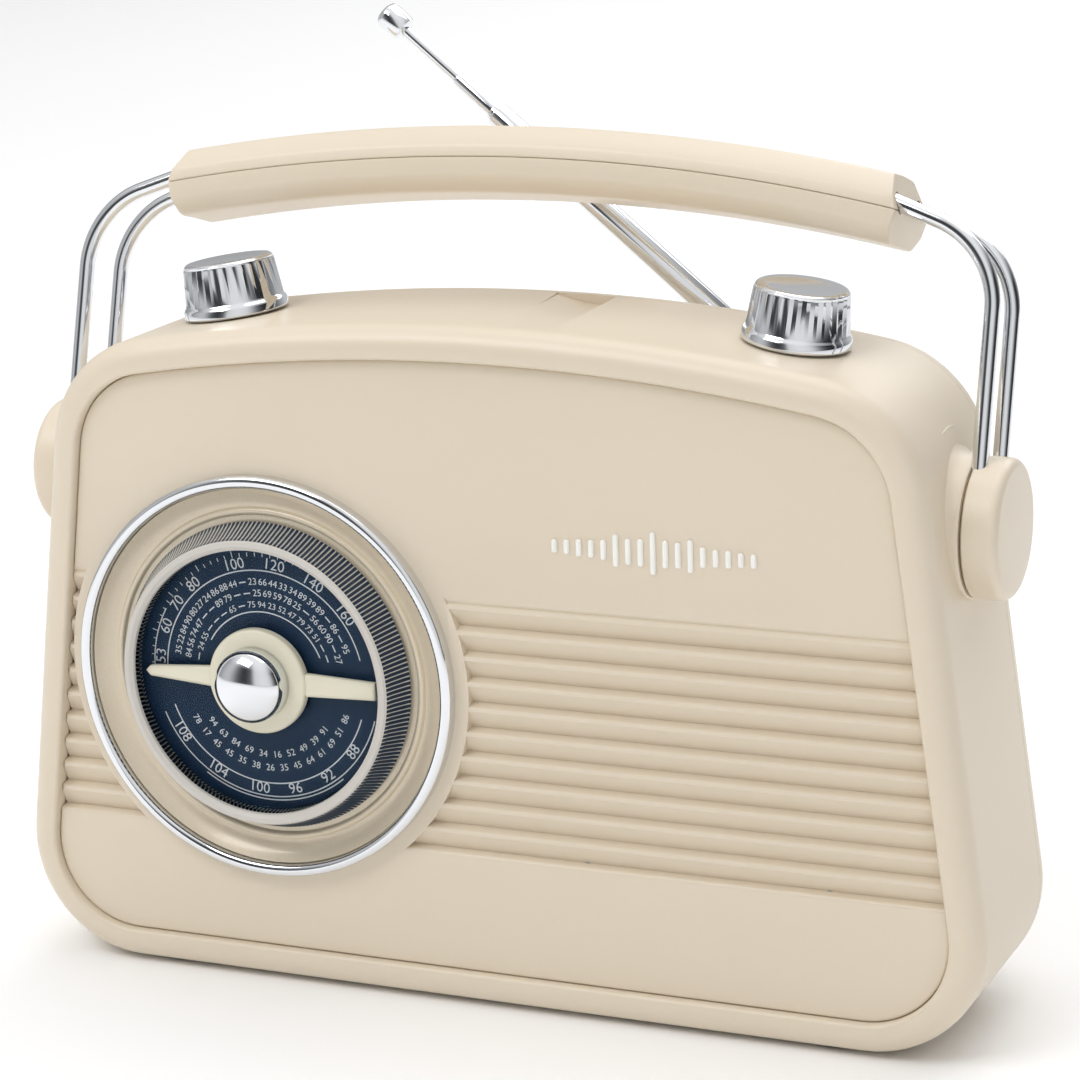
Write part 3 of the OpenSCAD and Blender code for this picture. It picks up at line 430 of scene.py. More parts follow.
# ---- Badge ----
# Seventeen small raised bars, a plain motif that swells towards the middle. Each is a chip of white ABS with
# rounded edges, pressed into the panel on a short foot.
badge_low, badge_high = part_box("badge")
BARS, BAR_W, BAR_PROUD = 17, 1.3 * MM, 0.8 * MM
badge_mid = (badge_low + badge_high) / 2
bar_step = (badge_high.x - badge_low.x - BAR_W) / (BARS - 1)
bpy.ops.object.select_all(action="DESELECT")
for bar in range(BARS):
    swell = (bar - (BARS - 1) / 2) * 10
    tall = 1.6 + 3.2 * math.cos(math.radians(swell)) ** 3 * abs(math.cos(math.radians(swell * 6)))
    bpy.ops.mesh.primitive_cube_add(size=1, scale=(BAR_W, BAR_PROUD + 0.4 * MM, 2 * tall * MM),
                                    location=(badge_low.x + BAR_W / 2 + bar * bar_step,
                                              panel_y - BAR_PROUD / 2 + 0.2 * MM, badge_mid.z))
    bpy.ops.object.transform_apply()
    bpy.ops.object.mode_set(mode="EDIT")
    bpy.ops.mesh.select_all(action="SELECT")
    bpy.ops.mesh.bevel(offset=0.55 * MM, segments=3, affect="EDGES", clamp_overlap=True)
    bpy.ops.object.mode_set(mode="OBJECT")
    if bar:
        first_bar.select_set(True)
        bpy.context.view_layer.objects.active = first_bar
        bpy.ops.object.join()
    first_bar = bpy.context.object
    bpy.ops.object.select_all(action="DESELECT")
first_bar.select_set(True)
bpy.context.view_layer.objects.active = first_bar

# Glossy white ABS: bright, with a slight moulded ripple.
white_abs, tree, shader, place = new_material("white moulded ABS, glossy")
shader.inputs["Base Color"].default_value = linear("#F6F5F0")
shader.inputs["Roughness"].default_value = 0.22
ripple = node(tree, "ShaderNodeTexNoise", {"Scale": 400.0}, {"Vector": place})
wave = node(tree, "ShaderNodeBump", {"Strength": 0.1, "Distance": 0.0001}, {"Height": ripple.outputs["Fac"]})
tree.links.new(wave.outputs["Normal"], shader.inputs["Normal"])
finish_piece("badge_bars", white_abs, sharp=50, replaces=["badge"])

# ---- Dial ring and dish ----
# A ring of chromed brass, turned and plated, sits in a seat in the panel. Inside it a dish in champagne
# paint falls away in a soft hollow towards the tuning knob.
dial_centre = (dial_x, front_y, dial_z)
FORWARD = (0, -1, 0)
ring_in = ring_out - 2.8 * MM


def lathe(profile, centre, axis, steps=96):
    """Turns a profile of (radius, height) points, in mm, about an axis."""
    axis = Vector(axis).normalized()
    side = axis.orthogonal().normalized()
    spots = [Vector(centre) + (side * r + axis * h) * MM for r, h in profile]
    trace(spots)
    bpy.ops.mesh.spin(steps=steps, angle=2 * math.pi, center=centre, axis=axis)
    bpy.ops.mesh.select_all(action="SELECT")
    bpy.ops.mesh.remove_doubles(threshold=1e-6)


def bend(r, h, radius_r, radius_h, begin, end, count):
    """Points (radius, height) round part of an ellipse, for a lathe profile; angles in degrees."""
    turns = [math.radians(begin + (end - begin) * i / count) for i in range(count + 1)]
    return [(r + radius_r * math.cos(a), h + radius_h * math.sin(a)) for a in turns]


# Bright chrome plate is a hard mirror with a cool tint. A fine polish haze keeps its highlights soft.
chrome_plate, tree, shader, place = new_material("bright chrome plate")
shader.inputs["Base Color"].default_value = linear("#E4E6E9")
shader.inputs["Metallic"].default_value = 1.0
haze = node(tree, "ShaderNodeTexNoise", {"Scale": 60.0, "Detail": 4.0}, {"Vector": place})
polish = node(tree, "ShaderNodeMapRange", {"To Min": 0.04, "To Max": 0.11}, {"Value": haze.outputs["Fac"]})
tree.links.new(polish.outputs["Result"], shader.inputs["Roughness"])

ring_mid = (ring_out + ring_in) / 2 / MM
RING_HALF = 1.4
ring_profile = [(ring_mid - RING_HALF, -3.0), (ring_mid + RING_HALF, -3.0), (ring_mid + RING_HALF, 0.1)]
ring_profile += bend(ring_mid, 0.2, RING_HALF, 1.1, 0, 180, 12)
ring_profile += [(ring_mid - RING_HALF, -3.0)]
lathe(ring_profile, dial_centre, FORWARD, 160)
finish_piece("dial_ring_chrome", chrome_plate, sharp=60, replaces=["dial_ring"])

# Champagne lacquer over moulded ABS: fine mica flakes of about 0.1 mm catch the light, under a clear coat.
champagne, tree, shader, place = new_material("champagne metallic lacquer")
mica = node(tree, "ShaderNodeTexVoronoi", {"Scale": 5000.0}, {"Vector": place})
sparkle = node(tree, "ShaderNodeValToRGB", links={"Fac": mica.outputs["Distance"]})
sparkle.color_ramp.elements[0].color = linear("#E6DAC4")
sparkle.color_ramp.elements[1].color = linear("#D9CBB3")
tree.links.new(sparkle.outputs["Color"], shader.inputs["Base Color"])
shader.inputs["Metallic"].default_value = 0.15
shader.inputs["Roughness"].default_value = 0.32
shader.inputs["Coat Weight"].default_value = 0.5
shader.inputs["Coat Roughness"].default_value = 0.1

DISH_FLOOR = -3.4
dish_out, dish_foot = ring_in / MM - 0.05, 39.8
profile = [(3.2, DISH_FLOOR - 1.4), (dish_out, DISH_FLOOR - 1.4), (dish_out, -0.9)]
for step in range(9):
    share = 1 - step / 8
    profile.append((dish_foot + (dish_out - 0.3 - dish_foot) * share, DISH_FLOOR + 2.9 * share ** 1.9))
profile += bend(38.8, DISH_FLOOR + 0.1, 0.8, 0.8, 10, 170, 8)
profile += [(37.8, DISH_FLOOR), (3.2, DISH_FLOOR), (3.2, DISH_FLOOR - 1.4)]
lathe(profile, dial_centre, FORWARD, 128)
finish_piece("dial_dish_lacquered", champagne, sharp=40, replaces=["dial_dish"])

# ---- Dial plate and scale ----
# A disc of polycarbonate, back-printed in deep blue, with white scales: rings, ticks and rows of numbers. The
# station rows are figures and dashes only.
PLATE_R, PLATE_FACE = 32.8, -1.4
# The ink lies behind the plastic: a deep blue, slightly uneven, that reflects little.
blue_print, tree, shader, place, _ = mottled("blue printed polycarbonate", "#16304B", "#1C3854", 40.0, 3.0)
shader.inputs["Roughness"].default_value = 0.45
shader.inputs["Specular IOR Level"].default_value = 0.2
profile = [(3.4, DISH_FLOOR), (PLATE_R, DISH_FLOOR), (PLATE_R, PLATE_FACE - 0.2), (PLATE_R - 0.2, PLATE_FACE),
           (3.4, PLATE_FACE), (3.4, DISH_FLOOR)]
lathe(profile, dial_centre, FORWARD, 128)
finish_piece("dial_plate_blue", blue_print, sharp=30, replaces=["dial_plate"])

# Screen-printed white ink: matt, and thin in places where the mesh of about 1 mm let less through.
white_ink, tree, shader, place, _ = mottled("white screen-printed ink", "#D5DBE0", "#F2F5F6", 900.0)
shader.inputs["Roughness"].default_value = 0.5
print_y = front_y - (PLATE_FACE + 0.04) * MM


def dial_point(radius, clock):
    """A point on the print at a radius in mm; clock is in degrees from the top, clockwise from the front."""
    a = math.radians(clock)
    return Vector((dial_x + radius * MM * math.sin(a), print_y, dial_z + radius * MM * math.cos(a)))


def print_arc(radius, begin, end, width=0.3):
    """A thin printed line round the dial from one clock angle to another."""
    trace([dial_point(radius, begin), dial_point(radius + width, begin)])
    steps = max(2, int(abs(end - begin) / 3))
    bpy.ops.mesh.spin(steps=steps, angle=math.radians(end - begin), center=(dial_x, print_y, dial_z),
                      axis=(0, -1, 0))
    bpy.ops.object.mode_set(mode="OBJECT")
    return bpy.context.object


def print_figure(words, radius, clock, tall):
    """A number printed upright to the dial's centre."""
    bpy.ops.object.select_all(action="DESELECT")
    flip = 180 if 95 < clock % 360 < 265 else 0
    bpy.ops.object.text_add(rotation=(math.pi / 2, math.radians(clock + flip), 0))
    figure = bpy.context.object
    figure.data.body = words
    figure.data.size = tall * MM
    figure.data.align_x = "CENTER"
    figure.data.align_y = "CENTER"
    figure.data.resolution_u = 3
    bpy.ops.object.convert(target="MESH")
    figure = bpy.context.object
    figure.location = dial_point(radius, clock)
    bpy.ops.object.transform_apply()
    return figure


printed = []
for radius, begin, end in ((25.2, -96, 76), (15.4, -60, 68), (28.6, -92, -60), (28.6, 106, 248),
                           (25.4, 108, 250), (29.4, 140, 214)):
    printed.append(print_arc(radius, begin, end))
for number, clock in zip((53, 60, 70, 80, 100, 120, 140, 160), (-84, -68, -54, -40, -14, 8, 30, 52)):
    printed.append(print_figure(str(number), 27.0, clock, 3.7))
for number, clock in zip((88, 92, 96, 100, 104, 108), (126, 146, 166, 186, 210, 236)):
    printed.append(print_figure(str(number), 27.0, clock, 3.6))
random.seed(7)
for radius, tall in ((22.6, 2.3), (19.9, 2.3), (17.2, 2.1)):
    clock = -78.0
    while clock < 74:
        if random.random() < 0.62:
            printed.append(print_figure(str(random.randint(16, 99)), radius, clock, tall))
            clock += 150 / radius
        else:
            printed.append(print_arc(radius - 0.1, clock - 50 / radius, clock + 50 / radius))
            clock += 150 / radius
for radius, first, last in ((21.8, 112, 246), (18.6, 128, 232)):
    clock = first
    while clock < last:
        printed.append(print_figure(str(random.randint(16, 99)), radius, clock, 2.3))
        clock += 210 / radius
TICKS, TICK_STEP, TICK_WIDE = 44, 3.9, 0.4
for tick in range(TICKS):
    clock = -92 + tick * TICK_STEP
    printed.append(print_arc(28.6, clock, clock + TICK_WIDE, 0.9 if tick % 5 else 1.6))
bpy.ops.object.select_all(action="DESELECT")
for piece in printed:
    piece.select_set(True)
bpy.context.view_layer.objects.active = printed[0]
bpy.ops.object.join()
scale_print = bpy.context.object
scale_print.name = "dial_scale_print"
scale_print.data.materials.clear()
scale_print.data.materials.append(white_ink)
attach(scale_print, "root")

# ---- Tuning knob ----
# A dish of clear acrylic, injection-moulded and polished: a cone-shaped wall with some two hundred fine
# grips, a frosted rim, and a thin floor that shows the scale behind it.
TUNER_R, TUNER_H = 33.7, 5.0
TUNER_FLOOR, TUNER_FLOOR_T = -0.8, 1.7
GRIPS = 210
# The index is well under acrylic's 1.49, so that the pale table's reflection doesn't veil the blue print.
clear_acrylic, tree, shader, place = new_material("clear polished acrylic")
shader.inputs["Base Color"].default_value = linear("#F4F7F8")
shader.inputs["Transmission Weight"].default_value = 1.0
shader.inputs["IOR"].default_value = 1.12
scuff = node(tree, "ShaderNodeTexNoise", {"Scale": 250.0}, {"Vector": place})
gloss = node(tree, "ShaderNodeMapRange", {"To Min": 0.02, "To Max": 0.06}, {"Value": scuff.outputs["Fac"]})
tree.links.new(gloss.outputs["Result"], shader.inputs["Roughness"])

frosted_rim, tree, shader, place = new_material("frosted acrylic rim")
shader.inputs["Base Color"].default_value = linear("#E9E4DC")
shader.inputs["Transmission Weight"].default_value = 0.25
shader.inputs["IOR"].default_value = 1.49
frost = node(tree, "ShaderNodeTexNoise", {"Scale": 2500.0}, {"Vector": place})
rough = node(tree, "ShaderNodeMapRange", {"To Min": 0.25, "To Max": 0.4}, {"Value": frost.outputs["Fac"]})
tree.links.new(rough.outputs["Result"], shader.inputs["Roughness"])

# The wall is drawn opaque, with the view through clear acrylic painted on: the blue print and its shadow as
# painted shade, and a pale highlight painted on each ridge. The real grips are 0.8 mm apart; they are drawn 1
# mm apart so that they show.
painted_grip_wall, tree, shader, place = new_material("clear acrylic, knurled over blue")
about = node(tree, "ShaderNodeMapping", links={"Vector": place})
about.inputs["Rotation"].default_value = (-math.pi / 2, 0, 0)
about.inputs["Location"].default_value = (-dial_x, -dial_z, 0)
turned = node(tree, "ShaderNodeTexGradient", {"gradient_type": "RADIAL"}, {"Vector": about.outputs["Vector"]})
count = node(tree, "ShaderNodeMath", {"operation": "MULTIPLY"}, {0: turned.outputs["Fac"]})
count.inputs[1].default_value = GRIPS
ridge = node(tree, "ShaderNodeMath", {"operation": "PINGPONG"}, {0: count.outputs["Value"]})
ridge.inputs[1].default_value = 0.5
grip_shade_and_highlight = node(tree, "ShaderNodeValToRGB", links={"Fac": ridge.outputs["Value"]})
# Pale stop: the highlight painted on each ridge. Dark stop: painted shade, the blue print and its shadow as
# seen through.
grip_shade_and_highlight.color_ramp.elements[0].position = 0.06
grip_shade_and_highlight.color_ramp.elements[0].color = linear("#C9C6BE")
grip_shade_and_highlight.color_ramp.elements[1].position = 0.20
grip_shade_and_highlight.color_ramp.elements[1].color = linear("#1C2F42")
tree.links.new(grip_shade_and_highlight.outputs["Color"], shader.inputs["Base Color"])
shader.inputs["Roughness"].default_value = 0.35
shader.inputs["Specular IOR Level"].default_value = 0.3

WALL_FLARE = 2.8
wall_foot, wall_top = DISH_FLOOR + 1.0, TUNER_H - 0.5
wall = [(TUNER_R + WALL_FLARE * (1 - i / 4), wall_foot + (wall_top - wall_foot) * i / 4) for i in range(5)]
profile = [(3.1, TUNER_FLOOR), (TUNER_R - 0.4, TUNER_FLOOR), (TUNER_R - 0.4, wall_foot)] + wall
profile += [(TUNER_R - 0.4, TUNER_H), (TUNER_R - 1.4, TUNER_H), (TUNER_R - 2.3, TUNER_H - 0.6),
            (TUNER_R - 2.5, TUNER_H - 1.3), (TUNER_R - 2.7, TUNER_FLOOR + TUNER_FLOOR_T + 0.4),
            (TUNER_R - 3.1, TUNER_FLOOR + TUNER_FLOOR_T), (3.1, TUNER_FLOOR + TUNER_FLOOR_T),
            (3.1, TUNER_FLOOR)]
lathe(profile, dial_centre, FORWARD, 2 * GRIPS)


def pinch(centre, axis, columns, low, high, least_r, factor):
    """Draws every other column of a turned wall in, between two heights in mm, to make flutes."""
    bpy.ops.object.mode_set(mode="OBJECT")
    axis = Vector(axis).normalized()
    side = axis.orthogonal().normalized()
    other = axis.cross(side)
    mesh = bpy.context.object.data
    for part in (mesh.vertices, mesh.edges, mesh.polygons):
        part.foreach_set("select", [False] * len(part))
    for vertex in mesh.vertices:
        arm = vertex.co - Vector(centre)
        rise = arm.dot(axis) / MM
        out = (arm - axis * arm.dot(axis)).length / MM
        column = round(math.atan2(arm.dot(other), arm.dot(side)) / (2 * math.pi) * columns)
        vertex.select = low < rise < high and out > least_r and column % 2 == 1
    bpy.ops.object.mode_set(mode="EDIT")
    bpy.ops.mesh.select_mode(type="VERT")
    along = [1 if abs(part) > 0.5 else factor for part in axis]
    bpy.ops.transform.resize(value=along, center_override=centre)


pinch(dial_centre, FORWARD, 2 * GRIPS, DISH_FLOOR + 1.3, TUNER_H - 0.6, TUNER_R - 0.3, 0.990)
knob = finish_piece("tuning_knob_clear", clear_acrylic, "tuning", 25, ["tuning_knob"])
knob.data.materials.append(frosted_rim)
knob.data.materials.append(painted_grip_wall)
# The top ring is frosted; the rest of the wall takes the painted see-through shade and ridge highlights.
for face in knob.data.polygons:
    reach = math.hypot(face.center.x - dial_x, face.center.z - dial_z) / MM
    rise = (front_y - face.center.y) / MM
    if TUNER_R - 2.6 < reach < TUNER_R + 0.1 and rise > TUNER_H - 1.3:
        face.material_index = 1
    elif reach > TUNER_R - 0.5:
        face.material_index = 2

# ---- Pointer and hub cap ----
# The pointer is a cream bar with a round hub, moulded in one piece and staked to the clear floor. A domed
# cap of chromed ABS snaps over its middle.
HUB_Z = TUNER_FLOOR + TUNER_FLOOR_T + 0.05
HUB_R = 12.4
pointer_cream, tree, shader, place = new_material("pale cream ABS, satin")
shader.inputs["Base Color"].default_value = linear("#E3DEC8")
fine = node(tree, "ShaderNodeTexNoise", {"Scale": 2500.0}, {"Vector": place})
satin = node(tree, "ShaderNodeMapRange", {"To Min": 0.3, "To Max": 0.42}, {"Value": fine.outputs["Fac"]})
tree.links.new(satin.outputs["Result"], shader.inputs["Roughness"])
shader.inputs["Coat Weight"].default_value = 0.2
bar = [(-29.4, 0.0), (-28.2, 1.25), (-11.0, 2.5), (11.0, 2.75), (29.6, 2.05), (29.6, -2.05), (11.0, -2.75),
       (-11.0, -2.5), (-28.2, -1.25)]
spots = [Vector((dial_x + u * MM, front_y - HUB_Z * MM, dial_z + v * MM)) for u, v in bar]
trace(spots, fill=True)
bpy.ops.mesh.extrude_region_move(TRANSFORM_OT_translate={"value": (0, -1.0 * MM, 0)})
bpy.ops.mesh.inset(thickness=0.25 * MM, use_even_offset=True)
bpy.ops.transform.translate(value=(0, -0.35 * MM, 0))
bpy.ops.mesh.inset(thickness=0.5 * MM, use_even_offset=True)
bpy.ops.transform.translate(value=(0, -0.2 * MM, 0))
pointer_bar = close_up()
lathe([(0, HUB_Z), (HUB_R, HUB_Z), (HUB_R, HUB_Z + 1.3)] + bend(HUB_R - 0.9, HUB_Z + 1.3, 0.9, 0.9, 15, 90, 4)
      + [(9.6, HUB_Z + 2.25), (0, HUB_Z + 2.25)], dial_centre, FORWARD, 96)
hub = close_up()
cut(hub, pointer_bar, "UNION")
finish_piece("pointer_bar", pointer_cream, "tuning", 35, ["pointer"])

cap_low, cap_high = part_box("hub_cap")
CAP_R = (cap_high.x - cap_low.x) / 2 / MM
CAP_TOP = (front_y - cap_low.y) / MM
CAP_Z = HUB_Z + 2.3
CAP_DOME = 5.0
lathe([(0, CAP_Z), (CAP_R - 0.2, CAP_Z), (CAP_R, CAP_Z + 0.2), (CAP_R, CAP_TOP - CAP_DOME)]
      + bend(0, CAP_TOP - CAP_DOME, CAP_R, CAP_DOME, 8, 90, 12), dial_centre, FORWARD, 96)
finish_piece("hub_cap_chrome", chrome_plate, "tuning", 50, ["hub_cap"])

# ---- Knobs on top ----
# Two knobs in chromed ABS, for volume and wave band, pressed on to their shafts: a flange, a fluted wall that
# narrows a little, and a flat top with a rounded edge. The flutes are drawn a little wide so that they show.
FLUTES, FLUTE_DRAW = 36, 0.962
joints = {joint["name"]: joint for joint in frame["joints"]}
for name, joint in (("volume", "volume_turn"), ("band", "band_turn")):
    seat, axis = joints[joint]["pos_m"], joints[joint]["axis"]
    profile = [(0, 0.4), (11.9, 0.4), (12.2, 0.7), (12.2, 2.3), (11.8, 2.9), (11.5, 3.2), (11.45, 3.7),
               (10.7, 11.4)]
    profile += bend(9.5, 11.6, 1.1, 1.4, 10, 90, 6)
    profile += [(7.6, 12.75), (0, 12.7)]
    lathe(profile, seat, axis, 2 * FLUTES)
    pinch(seat, axis, 2 * FLUTES, 3.5, 12.2, 9.9, FLUTE_DRAW)
    finish_piece(name + "_knob_chrome", chrome_plate, name, 42, [name + "_knob"])

# ---- Handle pivots ----
# On each side a round boss grows out of the cabinet's wall with a soft fillet, and a turning disc of the
# same cream ABS sits on it, with a fine gap between them. The rods go up into the disc.
pivot = Vector(joints["handle_fold"]["pos_m"])
for side, side_name in ((-1, "left"), (1, "right")):
    outwards = (side, 0, 0)
    on_axis = (0, pivot.y, pivot.z)
    disc_low, disc_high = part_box("pivot_disc_" + side_name)
    inner = min(abs(disc_low.x), abs(disc_high.x)) / MM
    outer = max(abs(disc_low.x), abs(disc_high.x)) / MM
    disc_r = (disc_high.z - disc_low.z) / 2 / MM
    lathe([(0, inner + 0.2), (disc_r - 0.5, inner + 0.2), (disc_r, inner + 0.6), (disc_r, outer - 2.2)]
          + bend(disc_r - 2.2, outer - 2.2, 2.2, 2.2, 0, 90, 7) + [(0, outer + 0.1)], on_axis, outwards, 96)
    finish_piece("pivot_disc_cream_" + side_name, cream_abs, "handle", 40,
                 ["pivot_disc_" + side_name])
    lathe([(4.2, inner - 8), (disc_r + 6.2, inner - 8)]
          + [(disc_r + 0.2 + 6.0 * (1 - math.sin(math.radians(a))),
              inner - 1.2 - 5.6 * math.cos(math.radians(a)))
             for a in (0, 15, 30, 45, 60, 75, 90)]
          + [(disc_r + 0.2, inner - 0.7), (disc_r - 0.1, inner - 0.3), (4.2, inner - 0.3), (4.2, inner - 8)],
          on_axis, outwards, 96)
    finish_piece("pivot_boss_cream_" + side_name, cream_abs, "root", 40,
                 ["pivot_boss_" + side_name])

# ---- Handle rods ----
# Four rods of chromed steel, 3.6 mm thick, bent cold round a former: they stand straight up from the discs,
# turn in and slope into the ends of the grip.
ROD_R = 1.8
ROD_GAP = 16.0
BEND_S, BEND_R, BEND_TURN = 46.0, 20.0, 70.0
ROD_FOOT, ROD_TAIL = 9.0, 16.0
rod_x = (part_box("pivot_disc_right")[0].x / MM) + 1.3
LEAN_BACK = math.radians(-16)


def stand_up():
    """Leans a piece that was drawn round the origin back, at the pivot, and applies its place."""
    bpy.ops.object.mode_set(mode="OBJECT")
    piece = bpy.context.object
    bpy.ops.object.select_all(action="DESELECT")
    piece.select_set(True)
    piece.rotation_euler.x = LEAN_BACK
    piece.location = pivot
    bpy.ops.object.transform_apply()
    return piece


for side, side_name in ((-1, "left"), (1, "right")):
    pair = []
    for row in (-1, 1):
        bpy.ops.object.select_all(action="DESELECT")
        bpy.ops.mesh.primitive_circle_add(vertices=28, radius=ROD_R * MM, fill_type="NGON",
                                          location=(side * rod_x * MM, row * ROD_GAP / 2 * MM, ROD_FOOT * MM))
        bpy.ops.object.transform_apply()
        bpy.ops.object.mode_set(mode="EDIT")
        bpy.ops.mesh.select_all(action="SELECT")
        bpy.ops.mesh.extrude_region_move(TRANSFORM_OT_translate={"value": (0, 0, (BEND_S - ROD_FOOT) * MM)})
        bpy.ops.mesh.spin(steps=24, angle=math.radians(BEND_TURN) * side, axis=(0, 1, 0),
                          center=(side * (rod_x - BEND_R) * MM, row * ROD_GAP / 2 * MM, BEND_S * MM))
        slope = math.radians(90 - BEND_TURN)
        tail = Vector((-side * math.cos(slope), 0, math.sin(slope))) * ROD_TAIL * MM
        bpy.ops.mesh.extrude_region_move(TRANSFORM_OT_translate={"value": tail})
        pair.append(close_up())
    bpy.ops.object.select_all(action="DESELECT")
    for rod in pair:
        rod.select_set(True)
    bpy.context.view_layer.objects.active = pair[0]
    bpy.ops.object.join()
    stand_up()
    finish_piece("handle_rods_" + side_name, chrome_plate, "handle", 60, ["rods_" + side_name])

# ---- Grip ----
# Two arched shells of cream ABS, screwed together from below round the ends of the rods. The long edges are
# bevelled, and a fine line shows where the shells meet.
GRIP_END, GRIP_MID_S, GRIP_ARCH = 89.0, 75.0, 8.5
END_LEAN = 0.28
arc_r = (GRIP_END ** 2 + GRIP_ARCH ** 2) / (2 * GRIP_ARCH)
half_turn = math.asin(GRIP_END / arc_r)
arc_z = GRIP_MID_S - arc_r
HALF_T, HALF_D = 7.75, 12.0
upper_section = [(0.06, -HALF_D + 0.25), (0.3, -HALF_D), (2.2, -HALF_D), (3.0, -HALF_D + 0.25),
                 (HALF_T - 0.9, -HALF_D + 3.9), (HALF_T - 0.25, -HALF_D + 4.7), (HALF_T, -HALF_D + 5.8),
                 (HALF_T + 0.25, 0.0)]
lower_section = [(-0.06, -HALF_D + 0.25), (-0.3, -HALF_D), (-3.4, -HALF_D), (-4.4, -HALF_D + 0.4),
                 (-6.8, -HALF_D + 2.9), (-7.4, -HALF_D + 4.1), (-7.6, -HALF_D + 5.5), (-7.5, 0.0)]
for name, section in (("grip_upper", upper_section), ("grip_lower", lower_section)):
    ring = section + [(h, -w) for h, w in reversed(section[:-1])]
    turn = -half_turn
    spots = [Vector(((arc_r + h) * math.sin(turn) * MM, w * MM, (arc_z + (arc_r + h) * math.cos(turn)) * MM))
             for h, w in ring]
    trace(spots, fill=True)
    bpy.ops.mesh.spin(steps=48, angle=-2 * half_turn, center=(0, 0, arc_z * MM), axis=(0, 1, 0))
    bpy.ops.mesh.select_all(action="SELECT")
    bpy.ops.mesh.remove_doubles(threshold=1e-6)
    # The ends lean out towards the seam, and their edges are eased.
    for end in (-1, 1):
        lift = 1 if name == "grip_upper" else -1
        bpy.ops.mesh.select_all(action="SELECT")
        seam_z = (arc_z + arc_r * math.cos(half_turn)) * MM
        bpy.ops.mesh.bisect(plane_co=(end * GRIP_END * MM, 0, seam_z), plane_no=(end, 0, lift * END_LEAN),
                            use_fill=True, clear_outer=True)
        bpy.ops.mesh.bevel(offset=1.1 * MM, segments=3, affect="EDGES", clamp_overlap=True)
    shell = close_up()
    for side in (-1, 1):
        for row in (-1, 1):
            bpy.ops.object.select_all(action="DESELECT")
            end_x = side * (rod_x - BEND_R * (1 - math.cos(math.radians(BEND_TURN)))) * MM
            end_z = (BEND_S + BEND_R * math.sin(math.radians(BEND_TURN))) * MM
            bpy.ops.mesh.primitive_cylinder_add(vertices=32, radius=(ROD_R + 0.35) * MM, depth=24 * MM,
                                                location=(end_x, row * ROD_GAP / 2 * MM, end_z),
                                                rotation=(0, -side * math.radians(BEND_TURN), 0))
            bpy.ops.object.transform_apply()
            cut(shell, bpy.context.object)
    stand_up()
    finish_piece(name + "_shell", cream_abs, "handle", 40, [name])

# ---- Aerial ----
# Three drawn brass tubes and a rod, chrome-plated, each rolled in at its mouth so that the next can't pull
# out. A small turned cap ends it.
aerial_foot = Vector(joints["aerial_tilt"]["pos_m"])
along = Vector(joints["aerial_slide_2"]["axis"])
tubes = [("aerial_base_tube", "aerial", 3.0, 2.5, 4.2, 83.5),
         ("aerial_middle_tube", "aerial_section_2", 2.4, 1.9, 11.5, 84.5),
         ("aerial_upper_tube", "aerial_section_3", 1.8, 1.4, 26.0, 96.0)]
for name, body, r, bore, low, high in tubes:
    profile = [(bore, low), (r - 0.2, low), (r, low + 0.3), (r, high - 1.4), (r - 0.08, high - 1.2),
               (r - 0.08, high - 0.5), (r - 0.3, high), (bore, high), (bore, low)]
    lathe(profile, aerial_foot, along, 32)
    if name == "aerial_base_tube":
        # The base tube is brazed on a flat tongue, drilled for the hinge pin.
        tube = close_up()
        tilt_back = math.radians(-90) + math.atan2(along.z, -along.x)
        across = Vector((along.z, 0, -along.x))
        for shape, reach_z in (("eye", 0.0), ("shank", 2.4)):
            bpy.ops.object.select_all(action="DESELECT")
            spot = aerial_foot + along * reach_z * MM
            if shape == "eye":
                turned = across.to_track_quat("Z", "Y").to_euler()
                bpy.ops.mesh.primitive_cylinder_add(vertices=40, radius=2.5 * MM, depth=4.2 * MM,
                                                    location=spot, rotation=turned)
            else:
                bpy.ops.mesh.primitive_cube_add(size=1, scale=(4.2 * MM, 4.4 * MM, 4.8 * MM), location=spot,
                                                rotation=(0, tilt_back, 0))
            bpy.ops.object.transform_apply()
            cut(tube, bpy.context.object, "UNION")
    finish_piece(name + "_chrome", chrome_plate, body, 50, [name])
TIP_R, TIP_FROM, TIP_TO = 1.3, 45.6, 113.0
lathe([(0, TIP_FROM), (TIP_R, TIP_FROM), (TIP_R, TIP_TO), (0, TIP_TO)], aerial_foot, along, 24)
finish_piece("aerial_rod_chrome", chrome_plate, "aerial_tip", 50, ["aerial_tip_rod"])
cap_profile = [(0, 112.7), (2.3, 112.7), (3.05, 113.2), (3.25, 114.0), (3.25, 118.3), (2.95, 119.2),
               (2.3, 119.6), (1.5, 119.5), (0.9, 119.75), (0, 119.8)]
lathe(cap_profile, aerial_foot, along, 40)
finish_piece("aerial_cap_chrome", chrome_plate, "aerial_tip", 40, ["aerial_tip_cap"])

